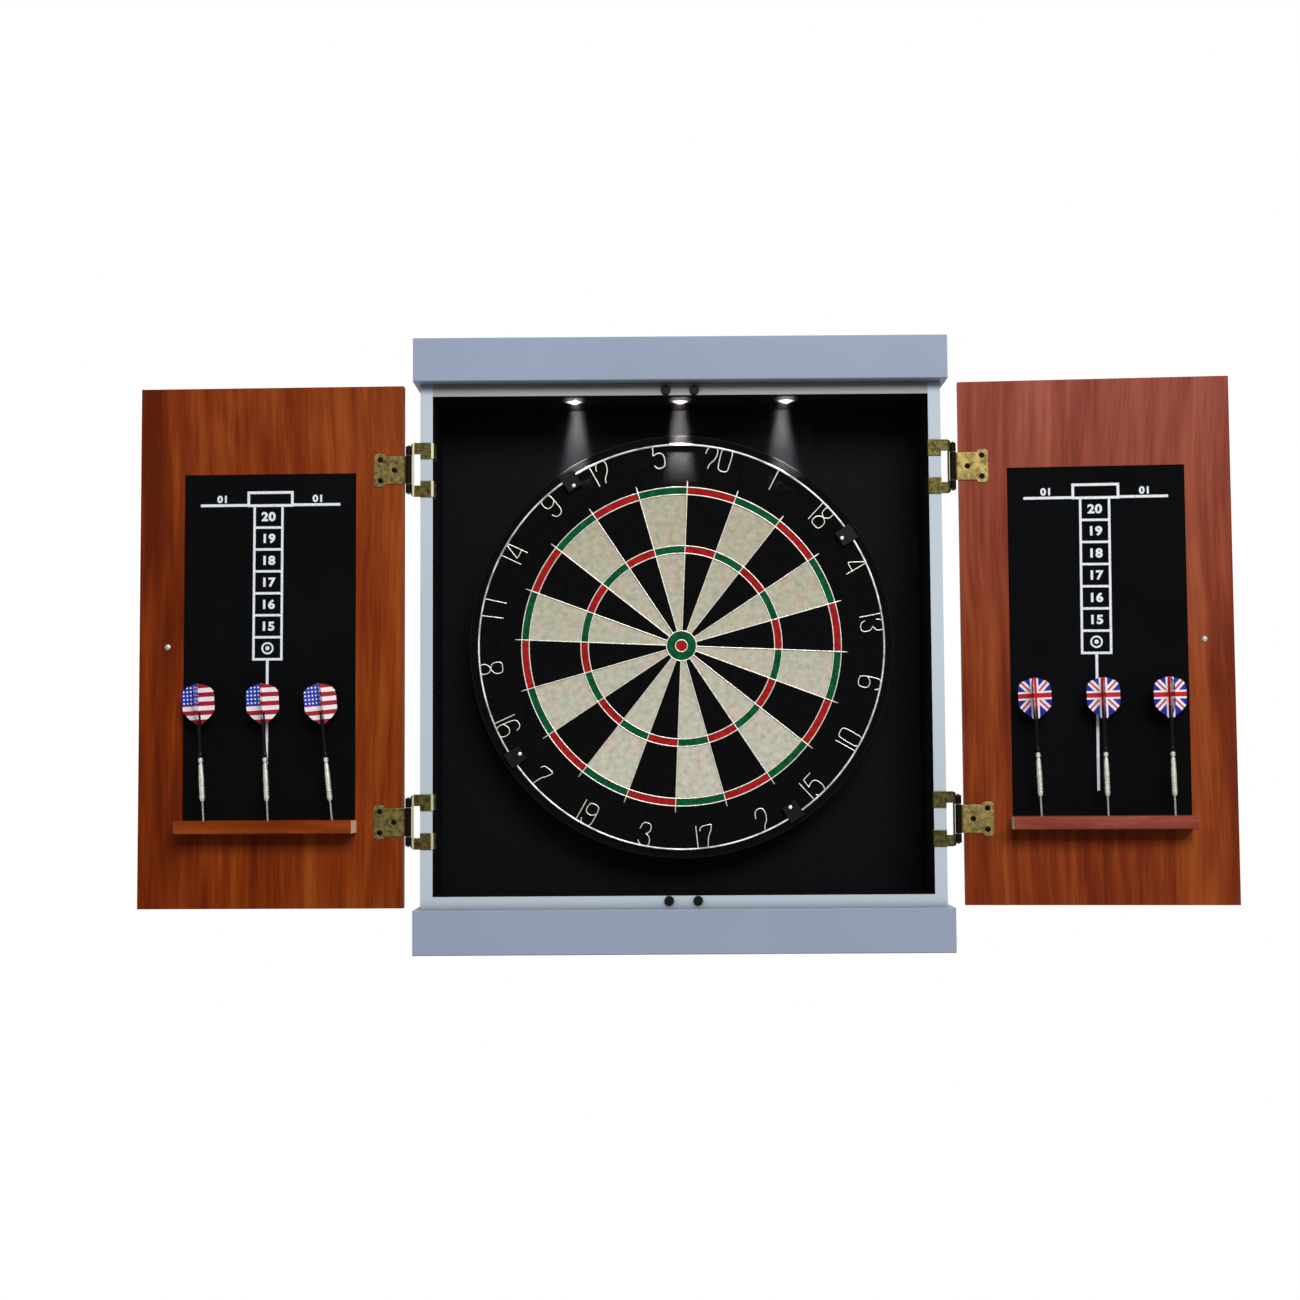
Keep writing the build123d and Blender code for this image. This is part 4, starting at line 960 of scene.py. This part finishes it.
flight = {
    # half outline: reach as a share of the widest, at a share of the length
    "outline": (
        (0.2, 0.0), (0.24, 0.03), (0.62, 0.14), (0.97, 0.3), (1.0, 0.4),
        (1.0, 0.72), (0.97, 0.8), (0.78, 0.9), (0.4, 0.965), (0.0, 1.0),
    ),
    "leastReach": 0.02,
    "thickness": 0.34 * mm,
    "width": 0.95,  # of the widest that the flight may be
    "rows": 14,
    "columns": 4,
}


def reachAt(height):
    # the half outline at a share of the length
    outline = flight["outline"]
    for (low, start), (high, end) in zip(outline, outline[1:]):
        if start <= height <= end:
            return max(low + (high - low) * (height - start) / (end - start), flight["leastReach"])
    return flight["leastReach"]


def foldFlight(dart):
    # four wings of printed film on the dart's axis, mapped across and up each pair
    axis = Vector(joints[f"{dart}_lift"]["axis"]).normalized()
    low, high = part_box(f"{dart}_barrel")
    middle = (low + high) / 2
    corners = [vertex.co - middle for vertex in nodes[f"{dart}_flight"].data.vertices]
    along = [corner.dot(axis) for corner in corners]
    start, length = min(along), max(along) - min(along)
    reaches = [corner - axis * corner.dot(axis) for corner in corners]
    widest = max(reach.length for reach in reaches)
    tips = [reach for reach in reaches if reach.length > 0.999 * widest]
    across = max(tips, key=lambda reach: reach.x).normalized()
    through = axis.cross(across)
    mesh = bmesh.new()
    film = mesh.loops.layers.uv.new("film")
    heights = {height for reach, height in flight["outline"]}
    heights = sorted(heights | {i / flight["rows"] for i in range(flight["rows"])})
    steps = flight["columns"]
    widest *= flight["width"]
    for out, aside in ((across, through), (through, -across), (-across, -through), (-through, across)):
        sign = 1 if out.x > 0 else -1
        for face in (-1, 1):
            skin = middle + aside * face * flight["thickness"] / 2
            rows = []
            for height in heights:
                row = []
                for k in range(steps + 1):
                    share = reachAt(height) * k / steps
                    point = skin + axis * (start + length * height) + out * widest * share
                    row.append((mesh.verts.new(point), (0.5 + sign * share / 2, height)))
                rows.append(row)
            for low, high in zip(rows, rows[1:]):
                for k in range(steps):
                    loop = [low[k], low[k + 1], high[k + 1], high[k]][::-face]
                    made = mesh.faces.new([vertex for vertex, place in loop])
                    for corner, (vertex, place) in zip(made.loops, loop):
                        corner[film].uv = place
    bmesh.ops.remove_doubles(mesh, verts=mesh.verts, dist=0.01 * mm)
    folded = bpy.data.meshes.new(f"{dart}Film")
    mesh.to_mesh(folded)
    mesh.free()
    return folded


def printedFilm(name, picture):
    # thin polyester film, screen printed, glossy, in faint waves of 2.5 mm
    material, add, coords = startFinish(name)
    film = add("ShaderNodeUVMap", uv_map="film")
    cloud = add("ShaderNodeTexNoise", {"Vector": coords, "Scale": 400, "Detail": 2})
    shade = add("ShaderNodeValToRGB", [cloud], stops=[(0.3, "#f0f0f0"), (0.7, "#ffffff")])
    colour = {0: 1.0, 6: picture(add, film), 7: shade}
    return endFinish(material, {
        "Base Color": add("ShaderNodeMix", colour, data_type="RGBA", blend_type="MULTIPLY"),
        "Roughness": 0.3,
        "Specular IOR Level": 0.2,
    })


starry = {
    "stripes": 9.0,
    "stripe": ("#99142a", "#f3e9ec"),
    "corner": (0.5, 0.46),  # the field's right and lower edge, as shares of the film
    "dots": (9.0, 10.5, 0.0),  # across and up the film
    "dotRadius": 0.245,  # share of a dot's own cell
    "dot": ("#1a33a6", "#eaeefb"),
}


def starsAndStripes(add, film):
    # red and white bands with a dotted blue corner, upper left
    places = add("ShaderNodeSeparateXYZ", [film]).outputs
    bands = add("ShaderNodeMath", [places["Y"], starry["stripes"]], operation="MULTIPLY")
    bands = add("ShaderNodeMath", [bands], operation="FLOOR")
    bands = add("ShaderNodeMath", [bands, 2.0], operation="FLOORED_MODULO")
    red, white = starry["stripe"]
    colour = add("ShaderNodeMix", {0: bands, 6: red, 7: white}, data_type="RGBA")
    cell = add("ShaderNodeVectorMath", [film, starry["dots"]], operation="MULTIPLY")
    cell = add("ShaderNodeVectorMath", [cell], operation="FRACTION")
    reach = add("ShaderNodeVectorMath", [cell, (0.5, 0.5, 0)], operation="DISTANCE")
    dot = add("ShaderNodeMath", [reach, starry["dotRadius"]], operation="LESS_THAN")
    blue, pale = starry["dot"]
    dotted = add("ShaderNodeMix", {0: dot, 6: blue, 7: pale}, data_type="RGBA")
    right, lower = starry["corner"]
    left = add("ShaderNodeMath", [places["X"], right], operation="LESS_THAN")
    upper = add("ShaderNodeMath", [places["Y"], lower], operation="GREATER_THAN")
    corner = add("ShaderNodeMath", [left, upper], operation="MULTIPLY")
    return add("ShaderNodeMix", {0: corner, 6: colour, 7: dotted}, data_type="RGBA")


slant = math.sqrt(0.5)
crossed = {
    "size": (35.0, 42.0, 0.0),  # of the film, in the units of the bands
    "start": (-17.5, -23.5, 0.0),  # its lower left corner, from the middle of the crosses
    "ground": "#1d2296",
    # each cross's two ways, and its bands' half widths and colours, the lowest first
    "crosses": (
        {"ways": ((slant, -slant, 0), (slant, slant, 0)), "bands": ((3.5, "#f3ecf1"), (1.0, "#c44352"))},
        {"ways": ((0, 1, 0), (1, 0, 0)), "bands": ((4.4, "#f3ecf1"), (2.4, "#bf1a22"))},
    ),
}


def crossedBands(add, film):
    # upright and slanting crosses, red edged with white, on blue
    spot = add("ShaderNodeVectorMath", [film, crossed["size"], crossed["start"]], operation="MULTIPLY_ADD")
    colour = crossed["ground"]
    for cross in crossed["crosses"]:
        distances = []
        for way in cross["ways"]:
            part = add("ShaderNodeVectorMath", [spot, way], operation="DOT_PRODUCT")
            distances.append(add("ShaderNodeMath", [part], operation="ABSOLUTE"))
        distance = add("ShaderNodeMath", distances, operation="MINIMUM")
        for width, band in cross["bands"]:
            inside = add("ShaderNodeMath", [distance, width], operation="LESS_THAN")
            colour = add("ShaderNodeMix", {0: inside, 6: colour, 7: band}, data_type="RGBA")
    return colour


turnedBrass = wornMetal("turnedBrass", "#c3c3ba", "#9d9d93", "#e2e1da", 0.3, 260)
polishedSteel = wornMetal("polishedSteel", "#a09e98", "#817f79", "#c2c0b9", 0.2, 400)
films = {
    "left": printedFilm("starStripeFilm", starsAndStripes),
    "right": printedFilm("crossedBandFilm", crossedBands),
}
for side in films:
    for number in (1, 2, 3):
        dart = f"{side}_dart_{number}"
        film = addPiece(f"{dart}_film", foldFlight(dart), films[side], dart)
        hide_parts(f"{dart}_flight")
        dress(polishedSteel, f"{dart}_point")
        dress(turnedBrass, f"{dart}_barrel")
        dress(glossNylon, f"{dart}_stem")
print("darts")
